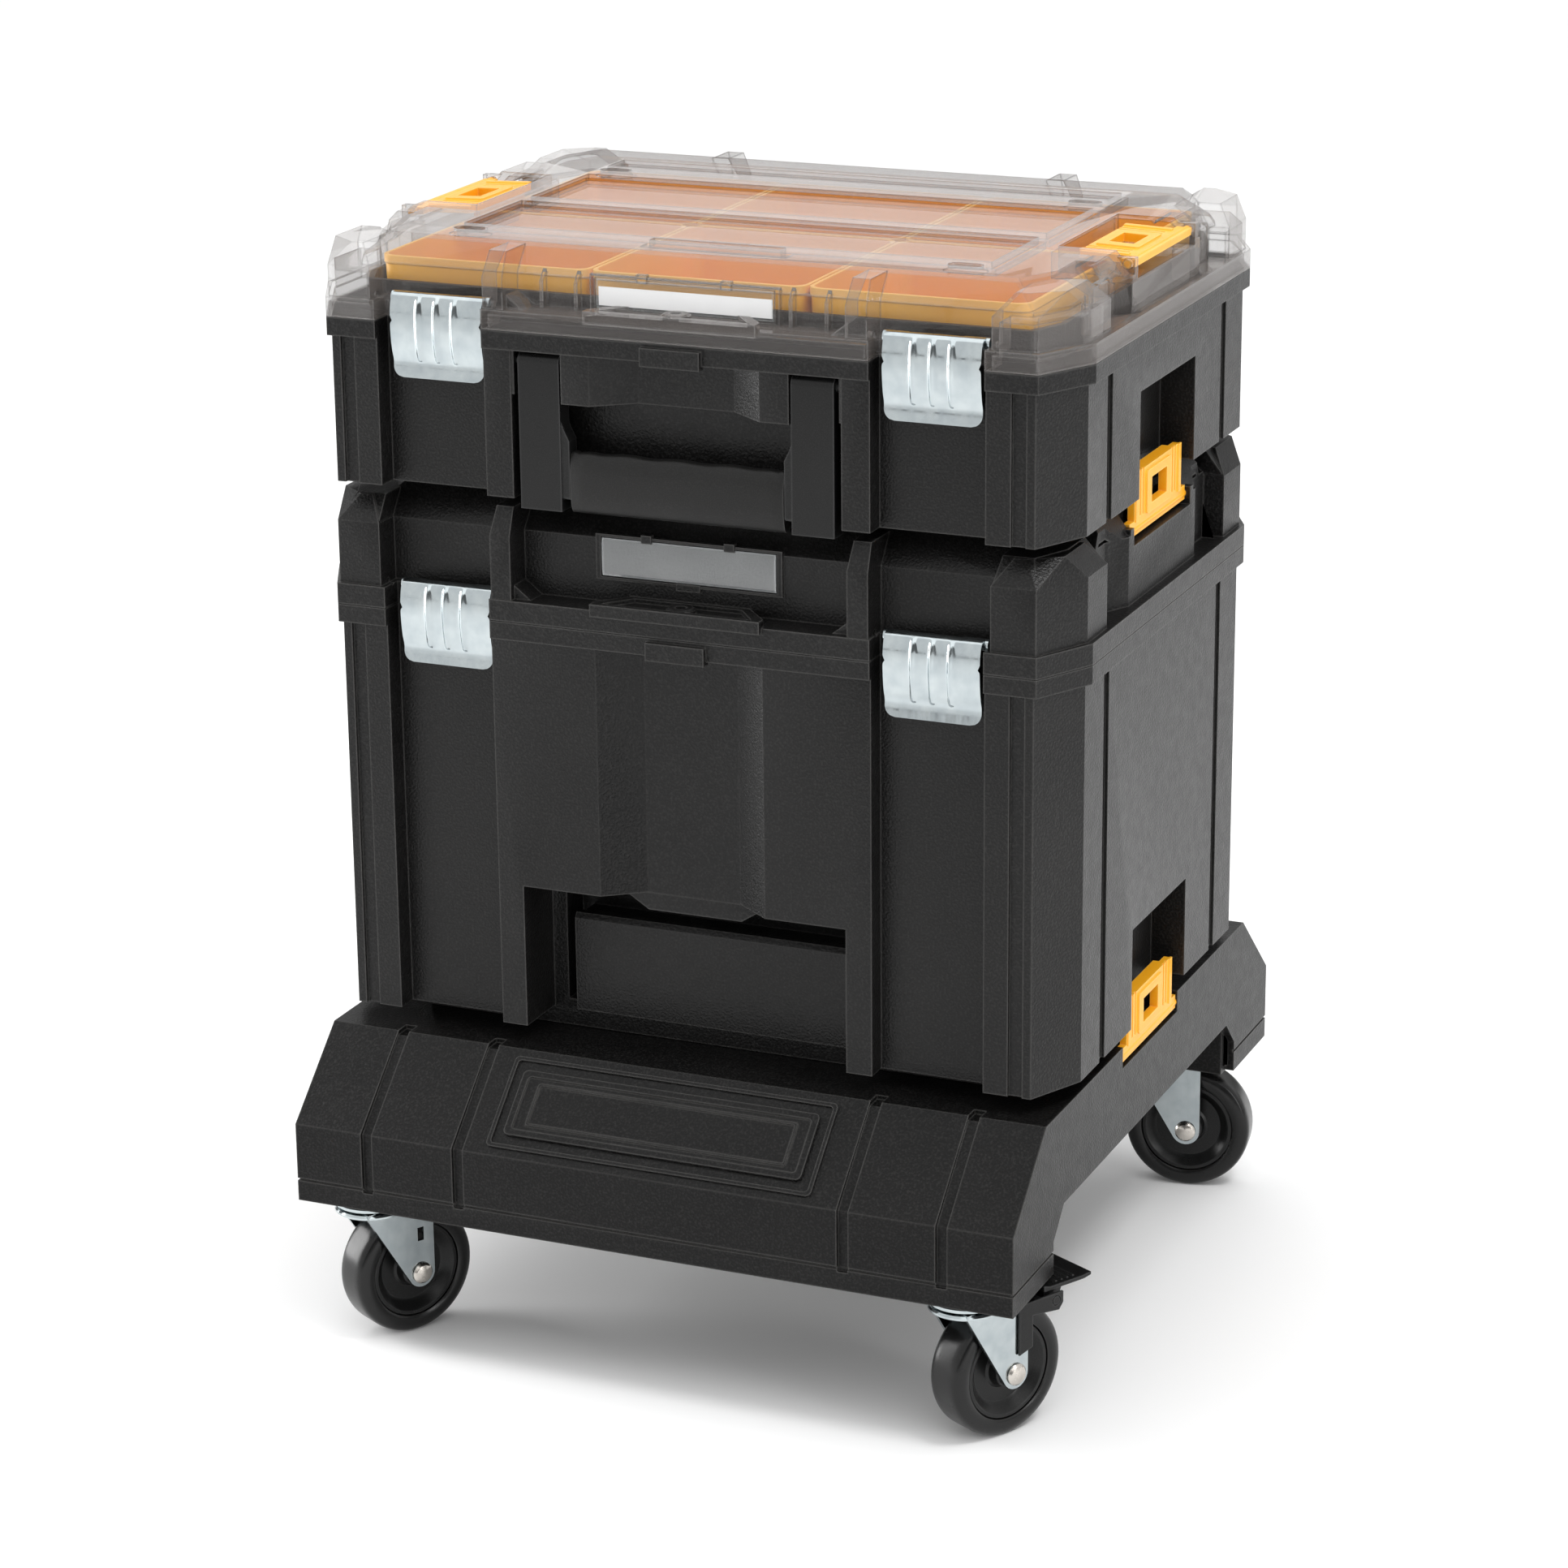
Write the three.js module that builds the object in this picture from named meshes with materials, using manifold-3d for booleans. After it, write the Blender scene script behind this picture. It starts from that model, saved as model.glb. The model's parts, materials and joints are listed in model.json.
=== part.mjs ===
// Rolling tool box: a wheeled cart, a deep tool box and a clear-lidded organiser, stacked and
// held together by side latches. Millimetres, +Z up. The origin is on the floor under the
// middle of the cart, +X to the right seen from the front, and the front faces -Y.
import * as THREE from 'three';
import { mergeVertices } from 'three/addons/utils/BufferGeometryUtils.js';
import { ConvexGeometry } from 'three/addons/geometries/ConvexGeometry.js';
import Module from 'manifold-3d';

const wasm = await Module();
wasm.setup();

// ---------------------------------------------------------------- driving dimensions
const gap = 0.3;                    // clearance between neighbouring pieces
const past = 1;                     // how far a cutting tool runs past the face it cuts
const wall = 4;                     // moulded wall of the tubs
const floor = 3;                    // floor of the tubs
const lidWall = 3;
const skirtWall = 4;                // wall of the cart

// plan outlines, as half sizes with a cut corner
const rim = { x: 220, y: 165, cutX: 18, cutY: 36 };
const body = { x: 216, y: 163, cutX: 16, cutY: 34 };
const core = { x: 205, y: 146, cutX: 12, cutY: 24 };
const foot = { x: 185, y: 128, cutX: 12, cutY: 24 };
const beyond = rim.y + 10;          // a plane in front of everything on the boxes

const cart = { x: 212, y: 220, bottom: 84.5, shoulder: 130, deck: 174, deckY: 171,
  pad: 62, padThickness: 3 };
const arch = { y: 158, top: 119, cut: 16 };
const cartGroove = { places: [-168, -112, 115.5, 171.5], half: 3, depth: 2, bottom: 95 };
const badge = { width: 176, height: 40, thickness: 1.6 };

const wheel = { radius: 37.5, width: 24, trail: 21, hub: 27.5, axle: 4 };
const swivel = { front: { x: 177.5, y: -199 }, rear: { x: 156.5, y: 180 }, race: 20.6 };
const casterTurn = { front_left: 60, front_right: 61.5, rear_right: 9, rear_left: 214.52 };
const brakedCasters = ['front_right', 'rear_left'];
const crown = { low: 77.2, edge: 79.4, top: 81 };
const kingpin = { radius: 4, bottom: 76.1, flange: 81.4 };
const cheek = { inner: 14.5, outer: 16.7, lead: -13, lobe: 8.5 };
const brake = { pinX: 48, pinZ: 73, pin: 2.5, inner: 17, outer: 18.6, pedalHalf: 16,
  pedalLow: 78.6, pedalHigh: 82, pedalEnd: 75 };

const lowerBox = { base: cart.deck + gap, bottom: 184.5, seam: 416, ledge: 428, knee: 463,
  top: 479, panes: [], latchSeat: { inner: 204, depth: 20 } };
const upperBox = { base: lowerBox.top + gap, bottom: 484.5, seam: 575, ledge: 586, knee: 603,
  top: 617, panes: [[-98, -28], [-16, 58], [84, 106]], latchSeat: { inner: 170, depth: 14 } };
const rimHeight = 10;
const paneDepth = 4;
const collar = { inset: 6, wall: 3, height: 17 };         // upstand inside the organiser's lid

// front faces, measured from the middle
const bay = { inner: 110, outer: 173, y: 150 };           // latch bays
const column = { inner: 97, outer: 109, y: 164 };         // legs of the front frame on each lid
const cornerPost = [[176, -163], [201, -163], [217, -129], [217, -99], [188, -99], [176, -112]];
const postGroove = { inner: 187, outer: 195, depth: 2 };
const sideGroove = { y: 95, width: 8, depth: 2 };
const pocket = { x: 196, y: 46, height: 58 };             // side pocket a latch reaches into
const lowerFront = { half: 95, y: 128, top: 266 };        // hand recess under the deep box
const upperFront = { half: 94, y: 140, top: upperBox.seam - rimHeight };
const channel = { outer: 48.5, inner: 27.5, y: 147 };     // tapered channel down each front
const brow = { half: 65, bottom: 538, back: 139 };
const lockTab = { half: 17, depth: 6, drop: 2, height: 10 };

const hinge = { y: 169.8, radius: 4.5, bore: 2.3, rod: 2, knuckle: 26, reach: 150, web: 8.8 };
const hingePlaces = [-110, -50, 50, 110];
const latchPin = { y: 155, rise: 1, radius: 1.6, bore: 1.9, reach: 3.5, eye: 3.4 };
const latchSheet = 1.6;
const sideLatch = { x: 209, halfWidth: 38.5, ear: 46.5, height: 31, plate: 4, pin: 2.4,
  seat: 50.5, hook: 3.5, hookHalf: 28, windowHalf: 14, windowLow: 9, windowHigh: 23 };
const latchZ = { cart: cart.deck - 7, lower: lowerBox.top - 14, upper: upperBox.top - 6.5 };
const foldedDown = -88;                                   // degrees from upright
const bail = { inner: 66, outer: 90, y: 157, half: 5.7, pivotZ: upperBox.seam - 16, pin: 3,
  pinEnd: 97.5, bottom: 479.5, barTop: 514, core: 3, coreLow: 486, coreHigh: 506 };
const cup = { x: 123, y: 133.5, wall: 2, taper: 3, frontY: -66.5, rearY: 68, below: 19 };
const label = { half: 51, window: 1.6, card: 0.7 };

// ---------------------------------------------------------------- solids
const bare = (geometry) => {
  const g = geometry.clone();
  g.deleteAttribute('normal');
  g.deleteAttribute('uv');
  return mergeVertices(g, 1e-4);
};

function solid(geometry) {
  const g = bare(geometry);
  const mesh = new wasm.Mesh({
    numProp: 3,
    vertProperties: new Float32Array(g.attributes.position.array),
    triVerts: new Uint32Array(g.index.array),
  });
  mesh.merge();
  return new wasm.Manifold(mesh);
}

function geometryOf(manifold) {
  const mesh = manifold.getMesh();
  const g = new THREE.BufferGeometry();
  g.setAttribute('position', new THREE.BufferAttribute(mesh.vertProperties, 3));
  g.setIndex(new THREE.BufferAttribute(mesh.triVerts, 1));
  g.computeVertexNormals();
  return g;
}

// a block between two opposite corners
function block(x0, x1, y0, y1, z0, z1) {
  const g = new THREE.BoxGeometry(x1 - x0, y1 - y0, z1 - z0);
  return solid(g.translate((x0 + x1) / 2, (y0 + y1) / 2, (z0 + z1) / 2));
}

const shapeOf = (points) => new THREE.Shape(points.map(([x, y]) => new THREE.Vector2(x, y)));

function extruded(points, depth) {
  return new THREE.ExtrudeGeometry(shapeOf(points), { depth, bevelEnabled: false });
}

// an outline in the XY plane, raised from z0 to z1
const prism = (points, z0, z1) => solid(extruded(points, z1 - z0).translate(0, 0, z0));

// an outline in the YZ plane, run along X
function prismAlongX(points, x0, x1) {
  const turn = new THREE.Matrix4().set(0, 0, 1, x0, 1, 0, 0, 0, 0, 1, 0, 0, 0, 0, 0, 1);
  return solid(extruded(points, x1 - x0).applyMatrix4(turn));
}

// an outline in the XZ plane, run along Y
function prismAlongY(points, y0, y1) {
  const turn = new THREE.Matrix4().set(1, 0, 0, 0, 0, 0, -1, y1, 0, 1, 0, 0, 0, 0, 0, 1);
  return solid(extruded(points, y1 - y0).applyMatrix4(turn));
}

// the convex solid between one outline at z0 and another at z1
function taper(lowPoints, z0, highPoints, z1) {
  const low = lowPoints.map(([x, y]) => new THREE.Vector3(x, y, z0));
  const high = highPoints.map(([x, y]) => new THREE.Vector3(x, y, z1));
  return solid(new ConvexGeometry([...low, ...high]));
}

const rodSides = 12;
const rod = (radius, length) => new THREE.CylinderGeometry(radius, radius, length, rodSides);

function rodAlongX(radius, x0, x1, y, z) {
  return solid(rod(radius, x1 - x0).rotateZ(Math.PI / 2).translate((x0 + x1) / 2, y, z));
}

function rodAlongY(radius, y0, y1, x, z) {
  return solid(rod(radius, y1 - y0).translate(x, (y0 + y1) / 2, z));
}

function rodAlongZ(radius, z0, z1) {
  return solid(rod(radius, z1 - z0).rotateX(Math.PI / 2).translate(0, 0, (z0 + z1) / 2));
}

// a turned piece about the Y axis, from [radius, y] pairs that close on the axis or a ring
function turnedAboutY(profile, sides) {
  const points = profile.map(([r, y]) => new THREE.Vector2(r, y));
  // the outer side of the profile has to run upwards for the faces to point out
  if (THREE.ShapeUtils.area(points) < 0) points.reverse();
  return new THREE.LatheGeometry(points, sides);
}

// the same, stood up about the Z axis
const turnedAboutZ = (profile, sides) => solid(turnedAboutY(profile, sides).rotateX(Math.PI / 2));

const join = (parts) => parts.reduce((sum, part) => sum.add(part));
const cut = (from, parts) => parts.reduce((rest, part) => rest.subtract(part), from);

// a rectangle with cut corners, drawn in by an inset
const cornerShare = 0.35;
function outline(plan, inset = 0) {
  const x = plan.x - inset;
  const y = plan.y - inset;
  const cx = plan.cutX - inset * cornerShare;
  const cy = plan.cutY - inset * cornerShare;
  return [
    [-x + cx, -y], [x - cx, -y], [x, -y + cy], [x, y - cy],
    [x - cx, y], [-x + cx, y], [-x, y - cy], [-x, -y + cy],
  ];
}

const rectangle = (x0, x1, y0, y1) => [[x0, y0], [x1, y0], [x1, y1], [x0, y1]];
const bothSides = (make) => [-1, 1].map((side) => make(side));
const fourCorners = (make) => bothSides((side) => bothSides((end) => make(side, end))).flat();
const span = (side, a, b) => (side > 0 ? [a, b] : [-b, -a]);
const between = (a, b) => [Math.min(a, b), Math.max(a, b)];
const mirrored = (points, sx, sy) => {
  const turned = points.map(([x, y]) => [x * sx, y * sy]);
  return sx * sy < 0 ? turned.reverse() : turned;
};

// ---------------------------------------------------------------- materials
const material = (color, roughness, metalness, opacity = 1) => new THREE.MeshStandardMaterial({
  color, roughness, metalness, opacity, transparent: opacity < 1,
});
const looks = {
  blackShell: () => material(0x232224, 0.55, 0),
  blackGrip: () => material(0x1c1b1d, 0.7, 0),
  orange: () => material(0xf2a019, 0.45, 0),
  zincSteel: () => material(0xb9c4c8, 0.3, 1),
  clear: () => material(0xc9bdb4, 0.12, 0, 0.4),
  card: () => material(0xf3f3f1, 0.8, 0),
  tyre: () => material(0x1a1a1b, 0.5, 0),
  hub: () => material(0x141415, 0.45, 0),
  bolt: () => material(0xa39c92, 0.3, 1),
};

const toolBox = new THREE.Group();

function addPiece(name, shape, look, parent = toolBox) {
  const geometry = shape.isBufferGeometry ? bare(shape) : geometryOf(shape);
  const mesh = new THREE.Mesh(geometry, look());
  mesh.name = name;
  parent.add(mesh);
  return mesh;
}

// ---------------------------------------------------------------- cart
// profile of the cart in the YZ plane: upright skirt, sloping shoulders, flat deck
function cartProfile(inset, bottom) {
  const y = cart.y - inset;
  const deckY = cart.deckY - inset * 0.4;
  const shoulder = cart.shoulder - inset * 0.4;
  const deck = cart.deck - inset;
  return [[-y, bottom], [y, bottom], [y, shoulder], [deckY, deck], [-deckY, deck], [-y, shoulder]];
}

// a pad under each corner carries a caster, and a wall ties it to the deck
function casterPads() {
  return [swivel.front, swivel.rear].flatMap(({ x, y }) => bothSides((side) => {
    const end = Math.sign(y);
    const across = span(side, x - cart.pad / 2, cart.x - 1);
    const inner = y - end * cart.pad / 2;
    const along = between(inner, end * (cart.y - 1));
    const web = between(inner, inner + end * skirtWall);
    return join([
      block(...across, ...along, cart.bottom, cart.bottom + cart.padThickness),
      block(...across, ...web, cart.bottom, cart.deck - 2),
    ]);
  }));
}

function cartBody() {
  const outer = prismAlongX(cartProfile(0, cart.bottom), -cart.x, cart.x);
  const insideX = cart.x - skirtWall;
  const hollow = prismAlongX(cartProfile(skirtWall, cart.bottom - past), -insideX, insideX);

  // the side walls arch up between the front and rear legs
  const archLow = cart.bottom - past;
  const archPoints = [[-arch.y, archLow], [arch.y, archLow], [arch.y, arch.top - arch.cut],
    [arch.y - arch.cut, arch.top], [-arch.y + arch.cut, arch.top], [-arch.y, arch.top - arch.cut]];
  const arches = bothSides((side) => prismAlongX(archPoints,
    ...span(side, insideX - past, cart.x + past)));

  // grooves run up the front and rear faces
  const grooves = cartGroove.places.flatMap((x) => bothSides((end) => block(
    x - cartGroove.half, x + cartGroove.half,
    ...span(end, cart.y - cartGroove.depth, cart.y + past), cartGroove.bottom, cart.shoulder)));

  // a seat with pivot holes for each side latch
  const seat = { inner: sideLatch.x - 5, half: sideLatch.ear + 1, floor: latchZ.cart - 5.5 };
  const backing = bothSides((side) => block(...span(side, seat.inner - wall, cart.x - 1),
    -seat.half - 5, seat.half + 5, seat.floor - wall, cart.deck - 1));
  const seats = bothSides((side) => block(...span(side, seat.inner, cart.x + past),
    -seat.half, seat.half, seat.floor, cart.deck + past));
  const whole = join([outer.subtract(hollow), ...casterPads(), ...backing]);
  return cut(whole, [...arches, ...grooves, ...seats, ...latchPivotHoles(latchZ.cart)]);
}

// a raised plain badge plate on the front slope
function cartBadge() {
  const slope = Math.atan2(cart.deck - cart.shoulder, cart.y - cart.deckY);
  const plate = new THREE.BoxGeometry(badge.width, badge.height, badge.thickness);
  const lift = badge.thickness / 2 + gap;
  const middle = { y: -(cart.y + cart.deckY) / 2, z: (cart.shoulder + cart.deck) / 2 };
  plate.rotateX(slope);
  return plate.translate(0, middle.y - lift * Math.sin(slope), middle.z + lift * Math.cos(slope));
}

// ---------------------------------------------------------------- casters
// each caster is drawn with its swivel axis on Z and its wheel trailing towards +X
const raceSides = 20;

function casterMount() {
  const top = cart.bottom - gap;
  const { radius, bottom, flange } = kingpin;
  return turnedAboutZ([[0, top], [swivel.race, top], [swivel.race, flange], [radius, flange],
    [radius, bottom], [0, bottom]], raceSides);
}

function casterFork() {
  const dome = turnedAboutZ([[0, crown.low], [swivel.race, crown.low], [swivel.race, crown.edge],
    [swivel.race - 2, crown.top], [0, crown.top]], raceSides);
  const kingpinHole = rodAlongZ(kingpin.radius + gap, crown.low - past, crown.top + past);

  // slanting front edge, a round lobe under the axle, upright rear edge
  const rear = wheel.trail + cheek.lobe;
  const profile = [[cheek.lead, crown.top], [cheek.lead, crown.low + gap],
    [wheel.trail - 7, wheel.radius - 5]];
  const lobeSteps = 6;
  for (let i = 0; i <= lobeSteps; i += 1) {
    const a = Math.PI * (1.18 + 0.72 * i / lobeSteps);
    profile.push([wheel.trail + cheek.lobe * Math.cos(a), wheel.radius + cheek.lobe * Math.sin(a)]);
  }
  profile.push([rear, wheel.radius], [rear, crown.top]);
  const cheeks = bothSides((side) => prismAlongY(profile, ...span(side, cheek.inner, cheek.outer)));
  const reach = cheek.outer + past;
  const axleHole = rodAlongY(wheel.axle + gap, -reach, reach, wheel.trail, wheel.radius);
  return cut(join([dome.subtract(kingpinHole), ...cheeks]), [axleHole]);
}

function wheelHub() {
  const bore = wheel.axle + gap;
  const boss = { radius: 9, half: 11.5 };
  const web = { radius: wheel.hub - 5, half: 4 };
  const half = [[bore, boss.half], [boss.radius, boss.half], [boss.radius, web.half],
    [web.radius, web.half], [wheel.hub, 10]];
  const otherHalf = half.map(([r, y]) => [r, -y]).reverse();
  return turnedAboutY([...half, ...otherHalf, half[0]], raceSides);
}

function wheelTyre() {
  const inner = wheel.hub + gap;
  const half = wheel.width / 2;
  const right = [[inner, half - 1], [wheel.radius - 4, half], [wheel.radius, half - 7]];
  const left = right.map(([r, y]) => [r, -y]).reverse();
  return turnedAboutY([...right, ...left, right[0]], 32);
}

function axleBolt() {
  const seat = cheek.outer + gap;
  const head = { radius: 6, crown: seat + 2, top: seat + 3 };
  const half = [[wheel.axle, seat], [head.radius, seat], [head.radius, head.crown], [0, head.top]];
  const otherHalf = half.map(([r, y]) => [r, -y]).reverse();
  return turnedAboutY([...otherHalf, ...half], rodSides);
}

// black strap on the fork that carries the brake pedal
function brakeBracket() {
  const strap = [[22, 48], [31.5, 51], [31.5, 69], [50, 67], [53, 71], [53, 77.4], [22, 77.4]];
  const straps = bothSides((side) => prismAlongY(strap, ...span(side, brake.inner, brake.outer)));
  const bridge = block(34, 38, -brake.inner - 0.5, brake.inner + 0.5, 74, 77.4);
  const pinHole = rodAlongY(brake.pin + gap, -brake.outer - past, brake.outer + past,
    brake.pinX, brake.pinZ);
  return cut(join([...straps, bridge]), [pinHole]);
}

function brakePedal() {
  const plate = block(41.5, brake.pedalEnd, -brake.pedalHalf, brake.pedalHalf,
    brake.pedalLow, brake.pedalHigh);
  const arm = prismAlongY([[43, 79], [43, 70], [47, 67], [52, 69], [56, 79]],
    -brake.pedalHalf + 2, brake.pedalHalf - 2);
  const pin = rodAlongY(brake.pin, -brake.outer, brake.outer, brake.pinX, brake.pinZ);
  return join([plate, arm, pin]);
}

function addCaster(corner) {
  const [end, hand] = corner.split('_');
  const side = hand === 'left' ? -1 : 1;
  const unit = new THREE.Group();
  unit.position.set(side * swivel[end].x, swivel[end].y, 0);
  unit.rotation.z = THREE.MathUtils.degToRad(casterTurn[corner]);
  toolBox.add(unit);
  addPiece(`caster_${corner}_mount`, casterMount(), looks.zincSteel, unit);
  addPiece(`caster_${corner}_fork`, casterFork(), looks.zincSteel, unit);

  const axle = new THREE.Group();
  axle.position.set(wheel.trail, 0, wheel.radius);
  unit.add(axle);
  addPiece(`caster_${corner}_hub`, wheelHub(), looks.hub, axle);
  addPiece(`caster_${corner}_tyre`, wheelTyre(), looks.tyre, axle);
  addPiece(`caster_${corner}_axle`, axleBolt(), looks.bolt, axle);
  if (brakedCasters.includes(corner)) {
    addPiece(`brake_${corner}_bracket`, brakeBracket(), looks.blackShell, unit);
    addPiece(`brake_${corner}_pedal`, brakePedal(), looks.blackShell, unit);
  }
}

// ---------------------------------------------------------------- side latches
// drawn upright about its pivot, for the right side, hook towards the box
function sideLatchShape() {
  const s = sideLatch;
  const half = s.plate / 2;
  const face = block(-half, half, -s.halfWidth, s.halfWidth, 1, s.height);
  const ears = block(-half, half, -s.ear, s.ear, -3, 5);
  const hook = block(-half - s.hook, -half + 1, -s.hookHalf, s.hookHalf, s.height - 4, s.height);
  const stubs = rodAlongY(s.pin, -s.seat, s.seat, 0, 0);
  const window = block(-half - past, half + past, -s.windowHalf, s.windowHalf,
    s.windowLow, s.windowHigh);
  return cut(join([face, ears, hook, stubs]), [window]);
}

// holes for the pivot stubs of both side latches at one height
function latchPivotHoles(z) {
  const reach = sideLatch.seat + gap;
  return bothSides((side) => rodAlongY(sideLatch.pin + gap, -reach, reach, side * sideLatch.x, z));
}

function addSideLatch(name, side, pivotZ, foldDegrees) {
  const unit = new THREE.Group();
  unit.position.set(side * sideLatch.x, 0, pivotZ);
  unit.rotation.y = THREE.MathUtils.degToRad(side * foldDegrees);
  toolBox.add(unit);
  const shape = sideLatchShape();
  addPiece(name, side > 0 ? shape : shape.rotate([0, 0, 180]), looks.orange, unit);
}

// ---------------------------------------------------------------- tubs
// hinge knuckles on one side of a seam, with the bore that the rod runs in
function hingeKnuckles(offset, z, rise) {
  const half = hinge.knuckle / 2 - gap;
  const parts = hingePlaces.map((place) => {
    const x = place + offset;
    return join([
      rodAlongX(hinge.radius, x - half, x + half, hinge.y, z),
      block(x - half, x + half, hinge.y - hinge.web, hinge.y, ...between(z + rise, z + 9 * rise)),
    ]);
  });
  const reach = hinge.reach + past;
  return { parts, bore: rodAlongX(hinge.bore, -reach, reach, hinge.y, z) };
}

// a tub: rim, walls and foot, with latch bays, side pockets and a front recess
function tubShell(box, front) {
  const { base, bottom, seam } = box;
  const pocketTop = bottom + pocket.height;
  const low = bottom - past;
  const outside = join([
    prism(outline(body), bottom, seam - rimHeight / 2),
    prism(outline(rim), seam - rimHeight, seam),
    prism(outline(foot), base, bottom + 1),
  ]);
  const bays = bothSides((side) => block(...span(side, bay.inner, bay.outer),
    -beyond, -bay.y, low, seam + past));
  const pockets = bothSides((side) => block(...span(side, pocket.x, rim.x + past),
    -pocket.y, pocket.y, low, pocketTop));
  const recess = block(-front.half, front.half, -beyond, -front.y, low, front.top);
  const grooves = fourCorners((side, end) => join([
    block(...span(side, postGroove.inner, postGroove.outer),
      ...span(end, body.y - postGroove.depth, body.y + past), low, seam - rimHeight),
    block(...span(side, body.x - sideGroove.depth, body.x + past),
      ...span(end, sideGroove.y - sideGroove.width / 2, sideGroove.y + sideGroove.width / 2),
      low, seam - rimHeight),
  ]));

  // the cavity follows the outside, one wall in
  const cavity = join([
    prism(outline(body, wall + postGroove.depth), bottom + floor, seam + past),
    prism(outline(foot, wall), base + floor, bottom + floor + past),
  ]);
  const bayWalls = bothSides((side) => block(...span(side, bay.inner - wall, bay.outer + wall),
    -beyond, -bay.y + wall, base, seam + 2 * past));
  const pocketWalls = bothSides((side) => block(...span(side, pocket.x - wall, rim.x + past),
    -pocket.y - wall, pocket.y + wall, base, pocketTop + wall));
  const recessWall = block(-front.half - wall, front.half + wall, -beyond, -front.y + wall,
    base, front.top + wall);
  const inside = cut(cavity, [...bayWalls, ...pocketWalls, recessWall]);

  const knuckles = hingeKnuckles(-hinge.knuckle / 2, seam, -1);
  return cut(join([outside, ...knuckles.parts]),
    [...bays, ...pockets, recess, ...grooves, inside, knuckles.bore]);
}

// the tab under the lip of the lid that takes a padlock
function padlockTab(seam) {
  const top = seam - lockTab.drop;
  return block(-lockTab.half, lockTab.half, -body.y - lockTab.depth + 1, -body.y + 1,
    top - lockTab.height, top);
}

// the channel is wider at the face of the panel than at its floor
function channelRun(z0, z1, grow = 0) {
  const flare = (beyond - channel.y) * (channel.outer - channel.inner) / (body.y - channel.y);
  const outer = channel.inner + flare + grow;
  const inner = channel.inner + grow;
  return prism([[-outer, -beyond], [outer, -beyond], [inner, grow - channel.y],
    [-inner, grow - channel.y]], z0, z1);
}

function lowerTub() {
  const { seam } = lowerBox;
  const high = seam - rimHeight;
  const backing = channelRun(lowerFront.top, seam, wall)
    .subtract(block(-beyond, beyond, -2 * beyond, -body.y + wall, lowerFront.top, seam));
  return tubShell(lowerBox, lowerFront).add(backing)
    .subtract(channelRun(lowerFront.top - past, high)).add(padlockTab(seam));
}

function upperTub() {
  const { seam } = upperBox;
  const browBlock = block(-brow.half, brow.half, -body.y, -brow.back, brow.bottom,
    upperFront.top + past).subtract(channelRun(brow.bottom - past, seam - rimHeight));
  const reach = bail.pinEnd + gap;
  const pivotHoles = rodAlongX(bail.pin + gap, -reach, reach, -bail.y, bail.pivotZ);
  // a flange runs in from the rim to an upstand that closes against the lid
  const mouth = outline(core, collar.inset + collar.wall);
  const low = seam - wall;
  const ring = join([
    prism(outline(rim, 1), low, seam),
    prism(outline(core, collar.inset), low, seam + collar.height),
  ]).subtract(prism(mouth, low - past, seam + collar.height + past));
  const bays = bothSides((side) => block(...span(side, bay.inner, bay.outer),
    -beyond, -bay.y, low - past, seam + past));
  return cut(join([tubShell(upperBox, upperFront), ring]), [pivotHoles, ...bays])
    .add(browBlock).add(padlockTab(seam));
}

// ---------------------------------------------------------------- lids
// corner posts, drawn in towards the middle of the post
function cornerBlocks(box, inset, start, knee) {
  const middle = [197, -133];
  const drawnIn = (dx, dy) => cornerPost.map(([x, y]) => [
    x - Math.sign(x - middle[0]) * dx, y - Math.sign(y - middle[1]) * dy]);
  return fourCorners((side, end) => {
    const low = mirrored(drawnIn(inset, inset), side, -end);
    if (inset > 0) return prism(low, start, knee - 2);
    const high = mirrored(drawnIn(9, 11), side, -end);
    return join([prism(low, start, knee), taper(low, knee, high, box.top - 3)]);
  });
}

function sideBlocks(box, inset, start, knee) {
  return bothSides((side) => {
    const low = rectangle(...span(side, 190, 214 - inset), -88 + inset, 88 - inset);
    const high = rectangle(...span(side, 190, 202 - inset), -80 + inset, 80 - inset);
    return join([prism(low, start, knee), taper(low, knee, high, box.top)]);
  });
}

function frameLegs(box, start, knee) {
  return fourCorners((side, end) => {
    const low = rectangle(...span(side, column.inner, column.outer), ...span(end, 140, column.y));
    const high = rectangle(...span(side, column.inner + 1, column.outer - 1),
      ...span(end, 130, column.y - 8));
    return join([prism(low, start, knee), taper(low, knee, high, box.top - 1)]);
  });
}

// the outside of a lid for inset 0, its hollow for an inset of one wall
function lidForm(box, inset) {
  const start = inset > 0 ? box.seam - past : box.seam + gap;
  const knee = box.knee - inset * 0.4;
  const lean = box.top - box.knee;
  const corePlan = outline(core, inset);
  const topPlan = outline({ ...core, x: core.x - lean, y: core.y - lean }, inset);
  const form = join([
    prism(outline(rim, inset), start, box.ledge - inset),
    prism(corePlan, start, knee),
    taper(corePlan, knee, topPlan, box.top - inset),
    ...cornerBlocks(box, inset, start, knee),
    ...sideBlocks({ ...box, top: box.top - inset }, inset, start, knee),
    ...(inset > 0 ? [] : frameLegs(box, start, knee)),
  ]);

  const above = box.top + past;
  const bays = bothSides((side) => block(...span(side, bay.inner - inset, bay.outer + inset),
    -beyond, -bay.y + inset, box.seam - 2 * past, above));
  const seatHalf = sideLatch.ear + 1 + inset;
  const seats = bothSides((side) => block(...span(side, box.latchSeat.inner - inset, rim.x + past),
    -seatHalf, seatHalf, box.top - box.latchSeat.depth - inset, above));
  const pane = { half: 152 + inset, floor: box.top - paneDepth - inset };
  const panes = box.panes.map(([y0, y1]) => block(-pane.half, pane.half, y0 - inset, y1 + inset,
    pane.floor, above));
  return cut(form, [...bays, ...seats, ...panes]);
}

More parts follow.
